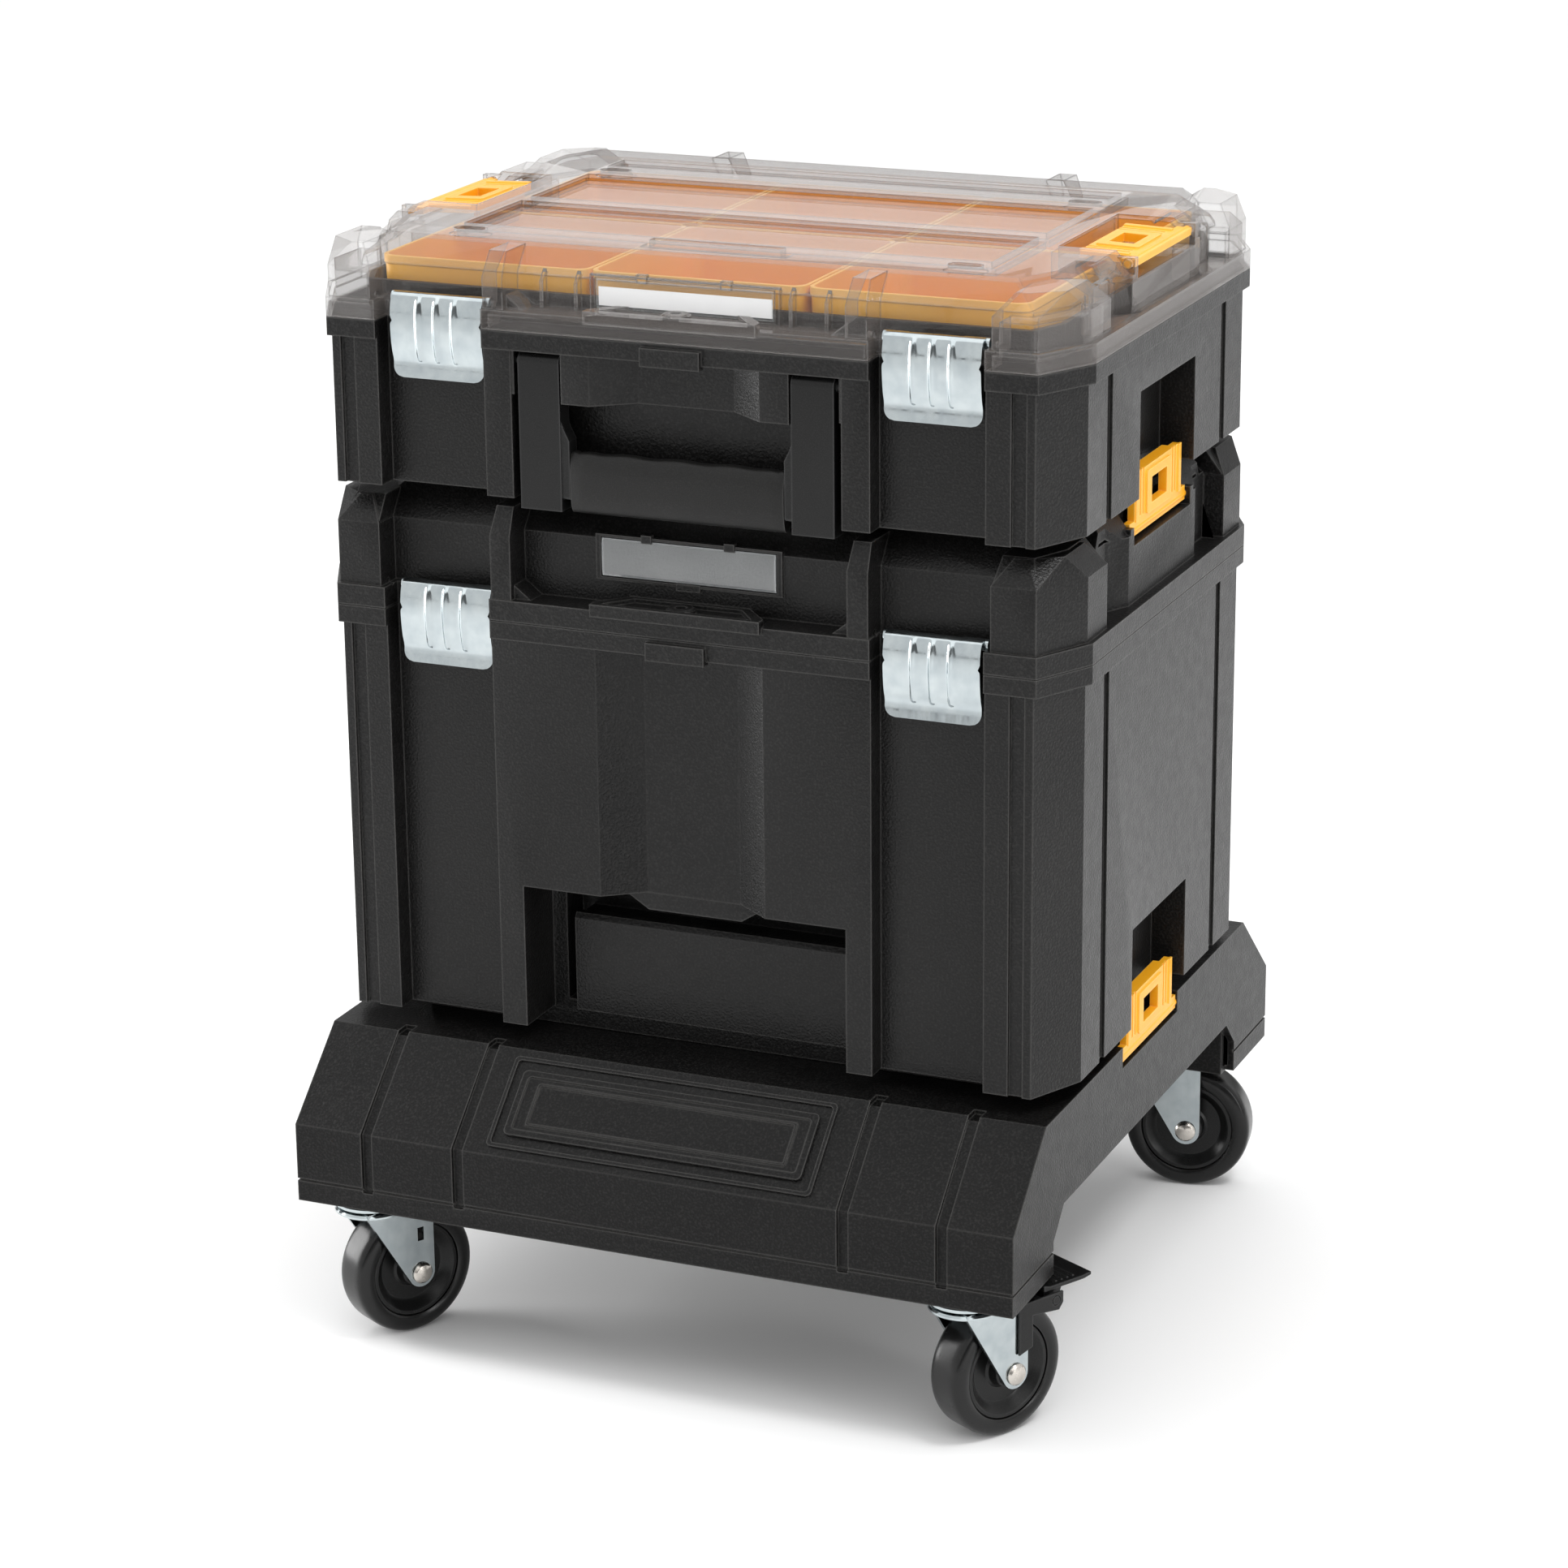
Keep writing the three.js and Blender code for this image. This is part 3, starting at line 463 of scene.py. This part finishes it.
piece("cart_shell", cart_shell(), "cart", cart_black, ["cart_body"], bevel=0.5)
piece("cart_panel", cart_badge(), "cart", cart_black, ["cart_badge"], bevel=0.4)


# ---------------------------------------------------------------- casters
# drawn with the swivel axis on Z and the wheel trailing towards +X
WHEEL = {"radius": 37.5, "half": 12, "rim": 27.5, "trail": 21}
BORE = 4.3                          # radius of the holes for the kingpin and the axle bolt


def caster_place(corner):
    """Where a caster stands: its swivel axis, turned so that its wheel trails as in the CAD."""
    swivel = pivot(f"swivel_{corner}_turn")
    away = pivot(f"wheel_{corner}_spin") - swivel
    turn = Matrix.Rotation(math.atan2(away.y, away.x), 4, "Z")
    return Matrix.Translation((swivel.x, swivel.y, 0)) @ turn


def fork(slotted):
    """A pressed fork: a domed crown and two cheeks that run down to round lobes at the axle."""
    dome = turned([(BORE, 77.2), (19.6, 77.2), (20.6, 77.8), (20.6, 78.9), (19.8, 80), (18, 80.7),
                   (15, 81), (BORE, 81)])
    lobe, trail, axle_z = 8.5, WHEEL["trail"], WHEEL["radius"]
    heel, inside, outside, crown_z = -13, 14.5, 16.7, 80.6
    profile = [(heel, crown_z), (heel, 78.2)]
    for i in range(13):
        a = math.pi * (1.14 + 0.86 * i / 12)
        profile.append((trail + lobe * math.cos(a), axle_z + lobe * math.sin(a)))
    profile.append((trail + lobe, crown_z))
    cheeks = [along_y(profile, *span(side, inside, outside)) for side in (-1, 1)]
    top = block(heel, trail + lobe, -outside, outside, crown_z - 2, crown_z)
    axle_hole = lying(turned([(0, -20), (BORE, -20), (BORE, 20), (0, 20)], 24))
    moved(axle_hole, Matrix.Translation((trail, 0, axle_z)))
    pin_hole = turned([(0, 70), (BORE, 70), (BORE, 90), (0, 90)], 24)
    cuts = [axle_hole, pin_hole]
    if slotted:
        cuts += [block(19, 23, *span(side, 14, 17.5), 57, 65) for side in (-1, 1)]
    return combine(dome, ("UNION", [top, *cheeks]), ("DIFFERENCE", cuts))


def tyre():
    """A solid tyre with a crowned tread and round shoulders."""
    radius, half, rim = WHEEL["radius"], WHEEL["half"], WHEEL["rim"] + 0.3
    right = [(rim, half - 1), (rim + 1.2, half - 0.3), (radius - 5, half), (radius - 2.6, half - 0.9)]
    for i in range(1, 6):
        a = math.pi / 2 * i / 6
        right.append((radius - 2.4 + 2.4 * math.sin(a), half - 6 + 4.8 * math.cos(a)))
    right.append((radius, half - 7.5))
    left = [(r, -y) for r, y in reversed(right)]
    return lying(turned(right + left, 72))


def hub():
    """A hub dished in two steps round a boss."""
    right = [(BORE, 12), (8, 12), (9, 11.2), (10.2, 6.2), (11.5, 5.2), (19.5, 5.2), (21.5, 6.4),
             (24.2, 10), (25.2, 10.6), (26.8, 10.6), (27.5, 10)]
    left = [(r, -y) for r, y in reversed(right)]
    return lying(turned(right + left, 64))


def axle():
    """A domed bolt head on one side and a nut on the other."""
    seat = 17
    shank = turned([(0, -seat - 1), (4, -seat - 1), (4, seat), (6.2, seat), (6.2, seat + 0.9),
                    (5, seat + 2.1), (2.8, seat + 2.8), (0, seat + 3)], 40)
    size = 6.4
    hexagon = [(size * math.cos(math.pi / 3 * i), size * math.sin(math.pi / 3 * i)) for i in range(6)]
    nut = prism(hexagon, -seat - 3, -seat)
    return lying(combine(shank, ("UNION", [nut])))


def top_plate():
    """A round steel plate under the cart, with the kingpin that the crown turns on."""
    plate = turned([(0, 81.4), (19.8, 81.4), (20.6, 82), (20.6, 83.6), (20, 84.2), (0, 84.2)])
    pin = turned([(0, 76.1), (5.6, 76.1), (6.2, 76.6), (6.2, 77), (4, 77), (4, 82), (0, 82)], 32)
    return combine(plate, ("UNION", [pin]))


def pedal():
    """A brake pedal with a ribbed tread, on its arm and pin."""
    tread = along_y([(41.5, 78.6), (70, 78.6), (75, 79.6), (75, 81.4), (69, 80.8), (46, 80.8),
                     (41.5, 82)], -16, 16)
    arm = along_y([(43, 79), (43, 70), (47, 67), (52, 69), (56, 79)], -14, 14)
    pin = lying(turned([(0, -18.6), (2.5, -18.6), (2.5, 18.6), (0, 18.6)], 24))
    moved(pin, Matrix.Translation((48, 0, 73)))
    ribs = [block(x, x + 1.2, -13, 13, 80, 81.5) for x in (52, 56, 60, 64)]
    return combine(tread, ("UNION", [arm, pin, *ribs]))


for corner in ("front_left", "front_right", "rear_right", "rear_left"):
    place = caster_place(corner)
    node = f"caster_{corner}_"
    rolling = place @ Matrix.Translation((WHEEL["trail"], 0, WHEEL["radius"]))
    upright = Matrix.Translation(place.translation)
    piece(node + "plate", moved(top_plate(), upright), "cart", zinc,
          [node + "mount"], bevel=0.12)
    piece(node + "yoke", moved(fork(corner == "front_left"), place), f"swivel_{corner}", zinc,
          [node + "fork"], bevel=0.45)
    piece(node + "bolt", moved(axle(), rolling), f"swivel_{corner}", nickel,
          [node + "axle"], bevel=0.25)
    piece(node + "tread", moved(tyre(), rolling), f"wheel_{corner}", tyre_rubber,
          [node + "tyre"], bevel=0, crease=40)
    piece(node + "centre", moved(hub(), rolling), f"wheel_{corner}", black_smooth,
          [node + "hub"], bevel=0, crease=30)
    if f"brake_{corner}_pedal" in nodes:
        piece(f"brake_{corner}_strap", cad(f"brake_{corner}_bracket"), f"swivel_{corner}",
              black_smooth, [f"brake_{corner}_bracket"], bevel=0.5)
        piece(f"brake_{corner}_tread", moved(pedal(), place), f"pedal_{corner}", black_smooth,
              [f"brake_{corner}_pedal"], bevel=0.4)


# ---------------------------------------------------------------- side latches
def rounded_upright(half, low, high, radius):
    """A rounded rectangle in the YZ plane between two heights."""
    middle = (low + high) / 2
    return [(y, z + middle) for y, z in rounded(half, (high - low) / 2, radius, 4)]


def side_latch():
    """Drawn upright about its pivot for the right side, hook towards the box."""
    frame_plate = along_x(rounded_upright(38.5, 1, 31, 2.5), -2, 2)
    ears = block(-2, 2, -46.5, 46.5, -3, 5)
    hook = block(-5.5, -1, -28, 28, 27, 31)
    stubs = lying(turned([(0, -50.5), (2.4, -50.5), (2.4, 50.5), (0, 50.5)], 24))
    boss = along_x(rounded_upright(20, 4.5, 28.5, 2), 1, 2.9)
    ribs = [block(1.5, 2.7, *span(side, 33.5, 37.5), 4, 31) for side in (-1, 1)]
    window = block(-4, 5, -12.5, 12.5, 9.5, 23.5)
    grooves = [block(1.1, 3, *span(side, y, y + 1.8), 6, 32) for side in (-1, 1) for y in (23.5, 28)]
    return combine(frame_plate, ("UNION", [ears, hook, stubs, boss, *ribs]),
                   ("DIFFERENCE", [window, *grooves]))


FOLDED = math.radians(88)           # how far the upper box's latches lie down at rest
for group, folded in (("cart_latch", 0), ("lower_side_latch", 0), ("upper_side_latch", FOLDED)):
    for side, hand in ((-1, "left"), (1, "right")):
        node = f"{group}_{hand}"
        turn = Matrix.Rotation(-folded, 4, "Y")
        if side < 0:
            turn = Matrix.Rotation(math.pi, 4, "Z") @ turn
        turn = Matrix.Translation(pivot(f"{node}_flip")) @ turn
        piece(f"{node}_clasp", moved(side_latch(), turn), node, orange, [node],
              bevel=0.6)


# ---------------------------------------------------------------- tubs
def lower_tub():
    """The deep tub, with a finger pocket round a raised panel at the back of its hand recess."""
    recess_y = -128
    backing = block(-92, 92, recess_y + 3, recess_y + 24, 186, 270)
    pocket = block(-86, 87, recess_y - 2, recess_y + 20, 190, 262)
    filling = block(-79, 83, recess_y - 1, recess_y + 22, 188, 240)
    panel = along_x([(recess_y + 1, 186), (recess_y - 5, 186), (recess_y - 5, 240),
                     (recess_y - 3, 243), (recess_y + 1, 243)], -79, 83)
    drop = along_y([(-27.5, 256), (27.5, 256), (44, 266.5), (44, 270), (-44, 270), (-44, 266.5)],
                   -146.5, recess_y)
    return combine(cad("lower_tub"), ("UNION", [backing]), ("DIFFERENCE", [pocket]),
                   ("UNION", [filling, panel, drop]))


def upper_tub():
    """The shallow tub, with a thin fin on each side of the bay that the bail folds into."""
    seam = UPPER["seam"]
    fins = [block(*span(side, 92.6, 95), FRONT_Y + 1, -139, 541, seam - 8) for side in (-1, 1)]
    return combine(cad("upper_tub"), ("UNION", fins))


piece("lower_tub_shell", lower_tub(), "lower_box", black, ["lower_tub"], bevel=0.45)
piece("upper_tub_shell", upper_tub(), "upper_box", black, ["upper_tub"], bevel=0.45)


# ---------------------------------------------------------------- lids
def pull_lip(box):
    """A trapezoid lip on the ledge, dished round a boss for a padlock."""
    low, high = box["ledge"] - 3, box["ledge"] + 4
    lip = prism([(-49, -168), (49, -168), (49, -162), (34, -145), (-34, -145), (-49, -162)],
                low, high)
    dish = prism([(-43, -164.5), (43, -164.5), (31, -149), (-31, -149)], high - 2.4, high + 2)
    boss = moved(turned([(0, 0), (8, 0), (8, 2.6), (6.5, 3.6), (0, 3.6)], 32),
                 Matrix.Translation((0, -158, high - 3)))
    keyhole = moved(turned([(0, 0), (3, 0), (3, 6), (0, 6)], 24),
                    Matrix.Translation((0, -158, high - 2)))
    return ("UNION", [lip]), ("DIFFERENCE", [dish]), ("UNION", [boss]), ("DIFFERENCE", [keyhole])


def side_facets(box):
    """Diagonal cheeks beside each side latch, set back to a lower plane near the corners."""
    low, high = box["ledge"], box["knee"]
    fills, cuts = [], []
    fill = [(201, 48), (214, 48), (214, 94.6), (201, 94.6)]
    carve = [(230, 50), (217, 50), (206, 72), (206, 96), (230, 96)]
    for side in (-1, 1):
        for end in (-1, 1):
            fills.append(prism(mirrored(fill, side, end), low - 3, high + 3))
            cuts.append(prism(mirrored(carve, side, end), low, box["top"] + 2))
    return ("UNION", fills), ("DIFFERENCE", cuts)


def corner_caps(box):
    """Sloping tops on the four corner posts: upright inside, sloping outside."""
    post = [(176.4, -162.6), (200.8, -162.6), (216.6, -129), (216.6, -99.5), (188, -99.5),
            (176.4, -112)]
    drawn = [(178, -150), (195, -150), (205, -127), (205, -101), (189, -101), (178, -112)]
    caps = []
    for side in (-1, 1):
        for end in (-1, 1):
            low = [(x * side, y * end, box["knee"] - 6.3) for x, y in post]
            knee = [(x * side, y * end, box["knee"] - 0.3) for x, y in post]
            high = [(x * side, y * end, box["top"] - 2.5) for x, y in drawn]
            caps.append(solid(low, knee, high))
    return ("UNION", caps)


def label_frame(low, high):
    """A raised frame for the label, with two clips above it and a tab below."""
    y = CORE_Y
    ring = block(-54, 54, y - 1.6, y + 1, low - 1.5, high + 1.5)
    opening = block(-51, 51, y - 3, y - 0.3, low, high)
    clips = [block(x - 3, x + 3, y - 2.6, y + 1, high - 1.5, high + 3) for x in (-24, 24)]
    tab = block(-7, 7, y - 2.6, y + 1, low - 3.5, low + 0.5)
    return ("UNION", [ring]), ("DIFFERENCE", [opening]), ("UNION", [*clips, tab])


def gussets(box):
    """Sloped corners where the front legs meet the ledge."""
    shapes = []
    for side in (-1, 1):
        corner = [(97.5, box["ledge"] - 1), (86, box["ledge"] - 1), (97.5, box["ledge"] + 8)]
        shapes.append(along_y([(x * side, z) for x, z in corner], -160, CORE_Y + 1))
    return ("UNION", shapes)


def lower_lid():
    """The black lid of the deep box."""
    return combine(cad("lower_lid"), *side_facets(LOWER), corner_caps(LOWER), gussets(LOWER),
                   *pull_lip(LOWER), *label_frame(*LOWER["label"]))


def upper_lid():
    """The clear lid: ribs behind its front wall, a slot and four dished bosses in its top."""
    top = UPPER["top"]
    slot = block(-38, 38, -107, -101, top - 6, top + 2)
    slot_rim = block(-42, 42, -110, -99, top - 4, top - 0.4)

    def dotted(outline, low, high):
        """The outline repeated at the four bosses."""
        return [prism([(a + x, b + y) for a, b in outline], low, high)
                for y in (-110, 74) for x in (-142, 142)]

    bosses = dotted(rounded(12, 7, 6.5), top - 3.5, top)
    wells = dotted(rounded(9.5, 4.8, 4.5), top - 1.6, top + 2)
    ribs = [along_x([(CORE_Y + 1, 586), (CORE_Y - 4, 586), (CORE_Y - 4, 600), (CORE_Y + 1, 606)],
                    *span(side, x, x + 2.2)) for side in (-1, 1) for x in (60, 80)]
    return combine(cad("upper_lid"), *side_facets(UPPER), gussets(UPPER), *pull_lip(UPPER),
                   *label_frame(*UPPER["label"]), ("UNION", [slot_rim, *bosses, *ribs]),
                   ("DIFFERENCE", [slot, *wells]))


piece("lower_lid_shell", lower_lid(), "lower_lid", black, ["lower_lid"], bevel=0.4)
piece("upper_lid_shell", upper_lid(), "upper_lid", smoky, ["upper_lid"], bevel=0.35)


def label_window(low, high):
    """A bowed clear slip in its frame."""
    y = CORE_Y - 0.6
    profile = [(y, low + 0.6), (y - 1, low + 0.6), (y - 1.5, low + 4), (y - 1.5, high - 4),
               (y - 1, high - 0.6), (y, high - 0.6)]
    return along_x(profile, -50.4, 50.4)


def label_paper():
    """A card just in front of the wall, behind the window."""
    low, high = limits("upper_label_card")
    sheet = prism(rounded(49.5, 0.2, 0.15, 2), low.z + 1, high.z - 1)
    return moved(sheet, Matrix.Translation((0, CORE_Y - 0.45, 0)))


piece("lower_label_slip", label_window(*LOWER["label"]), "lower_lid", label_grey,
      ["lower_label_window"], bevel=0.3)
piece("upper_label_slip", label_window(*UPPER["label"]), "upper_lid", label_clear,
      ["upper_label_window"], bevel=0.3)
piece("upper_label_paper", label_paper(), "upper_lid", card, ["upper_label_card"], bevel=0)


# ---------------------------------------------------------------- front latches
def smooth_path(points, steps):
    """Catmull-Rom curve through the points."""
    ends = [points[0], *points, points[-1]]
    path = []
    for a, b, c, d in zip(ends, ends[1:], ends[2:], ends[3:]):
        for i in range(steps):
            t = i / steps
            path.append(tuple(0.5 * (2 * q + (r - p) * t + (2 * p - 5 * q + 4 * r - s) * t * t
                                     + (3 * q - p - 3 * r + s) * t ** 3)
                              for p, q, r, s in zip(a, b, c, d)))
    path.append(tuple(points[-1]))
    return path


def front_latch():
    """A pressed sheet latch about its pin: curved face, three ribs, flared lip, round corners."""
    spine = smooth_path([(-1.2, 3.4), (-4.6, 3), (-7, 0.4), (-8.6, -6), (-9, -14), (-8.4, -22),
                         (-7.4, -28), (-6, -32.5), (-6, -36), (-7, -42)], 6)
    beyond = tuple(2 * last - before for last, before in zip(spine[-1], spine[-2]))
    half, thickness, corner, columns = 26.9, 1.1, 6, 96
    rib_places, rib_height, rib_width = (-10.5, 0, 10.5), 1.5, 1.35
    rib_top, rib_foot = 2.4, -34
    notch_depth, notch_z, notch_height = 1.2, -11, 1.2
    bottom = spine[-1][1]
    shape = bmesh.new()
    sheets = []
    for back in (0, thickness):
        rows = []
        for (y, z), (y2, z2) in zip(spine, [*spine[1:], beyond]):
            along = math.hypot(y2 - y, z2 - z)
            normal = ((z2 - z) / along, -(y2 - y) / along)
            to_corner = max(corner - (z - bottom), 0)
            pull = corner - math.sqrt(max(corner ** 2 - to_corner ** 2, 0))
            notch = notch_depth * math.exp(-((z - notch_z) / notch_height) ** 2)
            reach = half - pull - notch
            fade = min(1, max(0, (rib_top - z) / 4)) * min(1, max(0, (z - rib_foot) / 2.4))
            rise = fade * fade * (3 - 2 * fade)
            row = []
            for i in range(columns + 1):
                x = reach * (2 * i / columns - 1)
                rib = sum(math.exp(-((x - middle) / rib_width) ** 2) for middle in rib_places)
                out = rib_height * rib * rise - back
                row.append(shape.verts.new((x, y + normal[0] * out, z + normal[1] * out)))
            rows.append(row)
        sheets.append(rows)
    front, rear = sheets
    last = len(front) - 1
    for r in range(last):
        for i in range(columns):
            shape.faces.new((front[r][i], front[r][i + 1], front[r + 1][i + 1], front[r + 1][i]))
            shape.faces.new((rear[r][i], rear[r + 1][i], rear[r + 1][i + 1], rear[r][i + 1]))
        for i in (0, columns):
            shape.faces.new((front[r][i], front[r + 1][i], rear[r + 1][i], rear[r][i]))
    for i in range(columns):
        for r in (0, last):
            shape.faces.new((front[r][i], front[r][i + 1], rear[r][i + 1], rear[r][i]))
    bmesh.ops.recalc_face_normals(shape, faces=shape.faces)
    return shape


def latch_eye():
    """The rolled end that turns on the pin, in two lengths."""
    joined = bmesh.new()
    for x in (-22, 22):
        eye = turned([(1.9, -7), (3.3, -7), (3.3, 7), (1.9, 7)], 28)
        moved(eye, Matrix.Translation((x, 0, 0)) @ Matrix.Rotation(math.pi / 2, 4, "Y"))
        mesh = bpy.data.meshes.new("eye")
        eye.to_mesh(mesh)
        eye.free()
        joined.from_mesh(mesh)
        bpy.data.meshes.remove(mesh)
    return joined


for group in ("lower", "upper"):
    for side, hand in ((-1, "left"), (1, "right")):
        node = f"{group}_front_latch_{hand}"
        hinge = pivot(f"{node}_flip")
        turn = Matrix.Translation((side * sum(BAY) / 2 + LATCH_SHIFT[hand], hinge.y, hinge.z))
        piece(f"{node}_sheet", moved(front_latch(), turn), node, zinc, [node],
              bevel=0, crease=50)
        piece(f"{node}_eye", moved(latch_eye(), turn), node, zinc, bevel=0,
              crease=35)
        pin = turned([(0, -26.6), (1.5, -26.6), (1.5, 26.6), (0, 26.6)], 24)
        lengthwise = turn @ Matrix.Rotation(math.pi / 2, 4, "Y")
        piece(f"{group}_latch_axis_{hand}", moved(pin, lengthwise), f"{group}_lid", zinc,
              [f"{group}_latch_pin_{hand}"], bevel=0.2)


# ---------------------------------------------------------------- bail handle
bail_pivot = pivot("bail_swing")
BAIL = {"inner": 66, "outer": 90, "y": bail_pivot.y, "half": 5.7, "low": limits("bail_handle")[0].z,
        "core_half": 3, "core_low": 486, "core_high": 506}


def bail():
    """Two flat arms on pivot stubs, joined by a core that runs inside the grip."""
    half = BAIL["half"]
    profile = [(BAIL["y"] - half, BAIL["low"]), (BAIL["y"] + half, BAIL["low"])]
    for i in range(17):
        a = math.pi * i / 16
        profile.append((BAIL["y"] + half * math.cos(a), bail_pivot.z + half * math.sin(a)))
    arms = [along_x(profile, *span(side, BAIL["inner"], BAIL["outer"])) for side in (-1, 1)]
    core_x = BAIL["inner"] + 1
    core = block(-core_x, core_x, BAIL["y"] - BAIL["core_half"], BAIL["y"] + BAIL["core_half"],
                 BAIL["core_low"], BAIL["core_high"])
    stubs = []
    for side in (-1, 1):
        stub = turned([(0, 89), (3, 89), (3, 97.5), (0, 97.5)], 32)
        turn = Matrix.Rotation(side * math.pi / 2, 4, "Y")
        stubs.append(moved(stub, Matrix.Translation(bail_pivot) @ turn))
    webs = []
    for side in (-1, 1):
        web = [(BAIL["inner"] + 1, 531), (BAIL["inner"] - 1.5, 524), (BAIL["inner"] - 4.5, 518),
               (BAIL["inner"] - 4.5, 487), (BAIL["inner"] + 1, 487)]
        webs.append(along_y([(x * side, z) for x, z in web], BAIL["y"] - 4.6, BAIL["y"] + 4.6))
    return combine(arms[0], ("UNION", [arms[1], core, *stubs, *webs]))


def grip():
    """A soft sleeve, fuller in the middle, with finger waves along the top and a collar each end."""
    half, steps, half_wave, gap = 61.2, 60, 15, 0.3
    y, low, high = BAIL["y"], BAIL["low"] - 0.5, 513
    outline = rounded(1, 1, 0.8, 8)
    rings = []
    for i in range(steps + 1):
        x = half * (2 * i / steps - 1)
        to_end = half - abs(x)
        swell = math.sin(min(1, to_end / 9) * math.pi / 2)
        wave = 0.4 * math.cos(x / half_wave * math.pi) * min(1, max(0, (to_end - 10) / 8))
        collar = 1.2 if to_end < 4 else 0
        top = high - 2.6 + 1.6 * swell + wave + collar
        front = 5.0 + 1.1 * swell
        back = 5.2 + 1.2 * swell
        middle = (top + low) / 2
        rings.append([(x, y + (back if u > 0 else front) * u, middle + (top - low) / 2 * v)
                      for u, v in outline])
    past_ends = 70
    slot = block(-past_ends, past_ends, y - BAIL["core_half"] - gap, y + BAIL["core_half"] + gap,
                 BAIL["core_low"] - gap, BAIL["core_high"] + gap)
    return combine(solid(*rings), ("DIFFERENCE", [slot]))


piece("bail_arms", bail(), "bail", black_smooth, ["bail_handle"], bevel=0.8, crease=24)
piece("bail_sleeve", grip(), "bail", grip_rubber, ["bail_grip"], bevel=0, crease=35)


# ---------------------------------------------------------------- cups
def cup(node):
    """An open cup, narrower at the foot, with a thin turned lip; a little taller than its node."""
    taller = 6
    low, high = limits(node)
    high.z += taller
    centre = (low + high) / 2
    half_x, half_y = (high.x - low.x) / 2, (high.y - low.y) / 2
    draft, wall, rounding = 3, 2, 7

    def ring(inset, z):
        outline = rounded(half_x - inset, half_y - inset, rounding)
        return [(x + centre.x, y + centre.y, z) for x, y in outline]

    inner_low = low.z + wall
    return solid(ring(draft, low.z), ring(0.6, high.z - 5), ring(0, high.z - 4.4), ring(0, high.z),
                 ring(wall, high.z), ring(wall + 0.2, high.z - 5), ring(wall + draft, inner_low))


for node in sorted(nodes):
    if node.startswith("cup_"):
        piece(f"{node}_tray", cup(node), "upper_box", cup_orange, [node], bevel=0.4)


# ---------------------------------------------------------------- floor, light and camera
def stage_floor():
    """A wide pale floor."""
    shape = bmesh.new()
    bmesh.ops.create_grid(shape, x_segments=8, y_segments=8, size=30)
    floor = as_object(shape, "floor")
    made, _, shader = new_material("pale floor")
    shader.inputs["Base Color"].default_value = (0.92, 0.92, 0.92, 1)
    shader.inputs["Roughness"].default_value = 0.8
    shader.inputs["Specular IOR Level"].default_value = 0.1
    floor.data.materials.append(made)


def softbox(name, place, size, power, gloss, target=(0, 0, 0.3)):
    """A rectangular lamp that faces its target; gloss is its share in the reflections."""
    light = bpy.data.lights.new(name, "AREA")
    light.shape = "RECTANGLE"
    light.size, light.size_y = size
    light.energy = power
    light.specular_factor = gloss
    lamp = bpy.data.objects.new(name, light)
    lamp.location = place
    lamp.rotation_mode = "QUATERNION"
    lamp.rotation_quaternion = (Vector(target) - Vector(place)).to_track_quat("-Z", "Y")
    bpy.context.scene.collection.objects.link(lamp)


def overhead(name, strength, tilt_x, tilt_y, gloss):
    """Wide daylight from above, kept nearly out of the reflections."""
    sun = bpy.data.lights.new(name, "SUN")
    sun.energy = strength
    sun.angle = math.radians(120)
    sun.specular_factor = gloss
    lamp = bpy.data.objects.new(name, sun)
    lamp.rotation_euler = (math.radians(tilt_x), math.radians(tilt_y), 0)
    bpy.context.scene.collection.objects.link(lamp)


def surround(as_light, as_seen):
    """A white world: its strength as light and in reflections, and where the view meets it."""
    world = bpy.data.worlds.new("studio")
    world.use_nodes = True
    tree = world.node_tree
    background = tree.nodes["Background"]
    background.inputs["Color"].default_value = (1, 1, 1, 1)
    ray = tree.nodes.new("ShaderNodeLightPath")
    strength = tree.nodes.new("ShaderNodeMapRange")
    strength.inputs["To Min"].default_value = as_light
    strength.inputs["To Max"].default_value = as_seen
    tree.links.new(ray.outputs["Is Camera Ray"], strength.inputs["Value"])
    tree.links.new(strength.outputs["Result"], background.inputs["Strength"])
    bpy.context.scene.world = world


def view(place, azimuth, elevation, roll, lens):
    """The camera: its place in millimetres, its angles in degrees and its focal length."""
    azimuth, elevation = math.radians(azimuth), math.radians(elevation)
    back = Vector((math.sin(azimuth) * math.cos(elevation),
                   -math.cos(azimuth) * math.cos(elevation), math.sin(elevation)))
    right = Vector((math.cos(azimuth), math.sin(azimuth), 0))
    level = Matrix((right, back.cross(right), back)).transposed().to_4x4()
    camera_data = bpy.data.cameras.new("camera")
    camera_data.sensor_width = 36
    camera_data.lens = lens
    camera_data.clip_end = 100
    camera = bpy.data.objects.new("camera", camera_data)
    camera.matrix_world = (Matrix.Translation(Vector(place) * MM) @ level
                           @ Matrix.Rotation(math.radians(roll), 4, "Z"))
    bpy.context.scene.collection.objects.link(camera)
    bpy.context.scene.camera = camera


stage_floor()
overhead("overhead_left", 1.9, 22, -24, gloss=0.1)
overhead("overhead_right", 1.6, -14, 26, gloss=0.05)
softbox("key", (1.3, -0.5, 2.4), (0.5, 0.5), 18, gloss=0.6)
softbox("left", (-2.2, -0.35, 0.7), (0.9, 1.8), 40, gloss=0.8)
softbox("right", (2.6, -1.0, 0.8), (0.4, 1.4), 10, gloss=0.2)
softbox("back", (-1.1, 2.5, 1.5), (1.9, 0.9), 7, gloss=1, target=(0, 0, 0.6))
surround(as_light=0.16, as_seen=0.9)
view((954.82, -2247.89, 1080.36), azimuth=23.22, elevation=18, roll=-0.57, lens=103.69)
bpy.context.scene.view_settings.view_transform = "Standard"

bpy.context.view_layer.update()
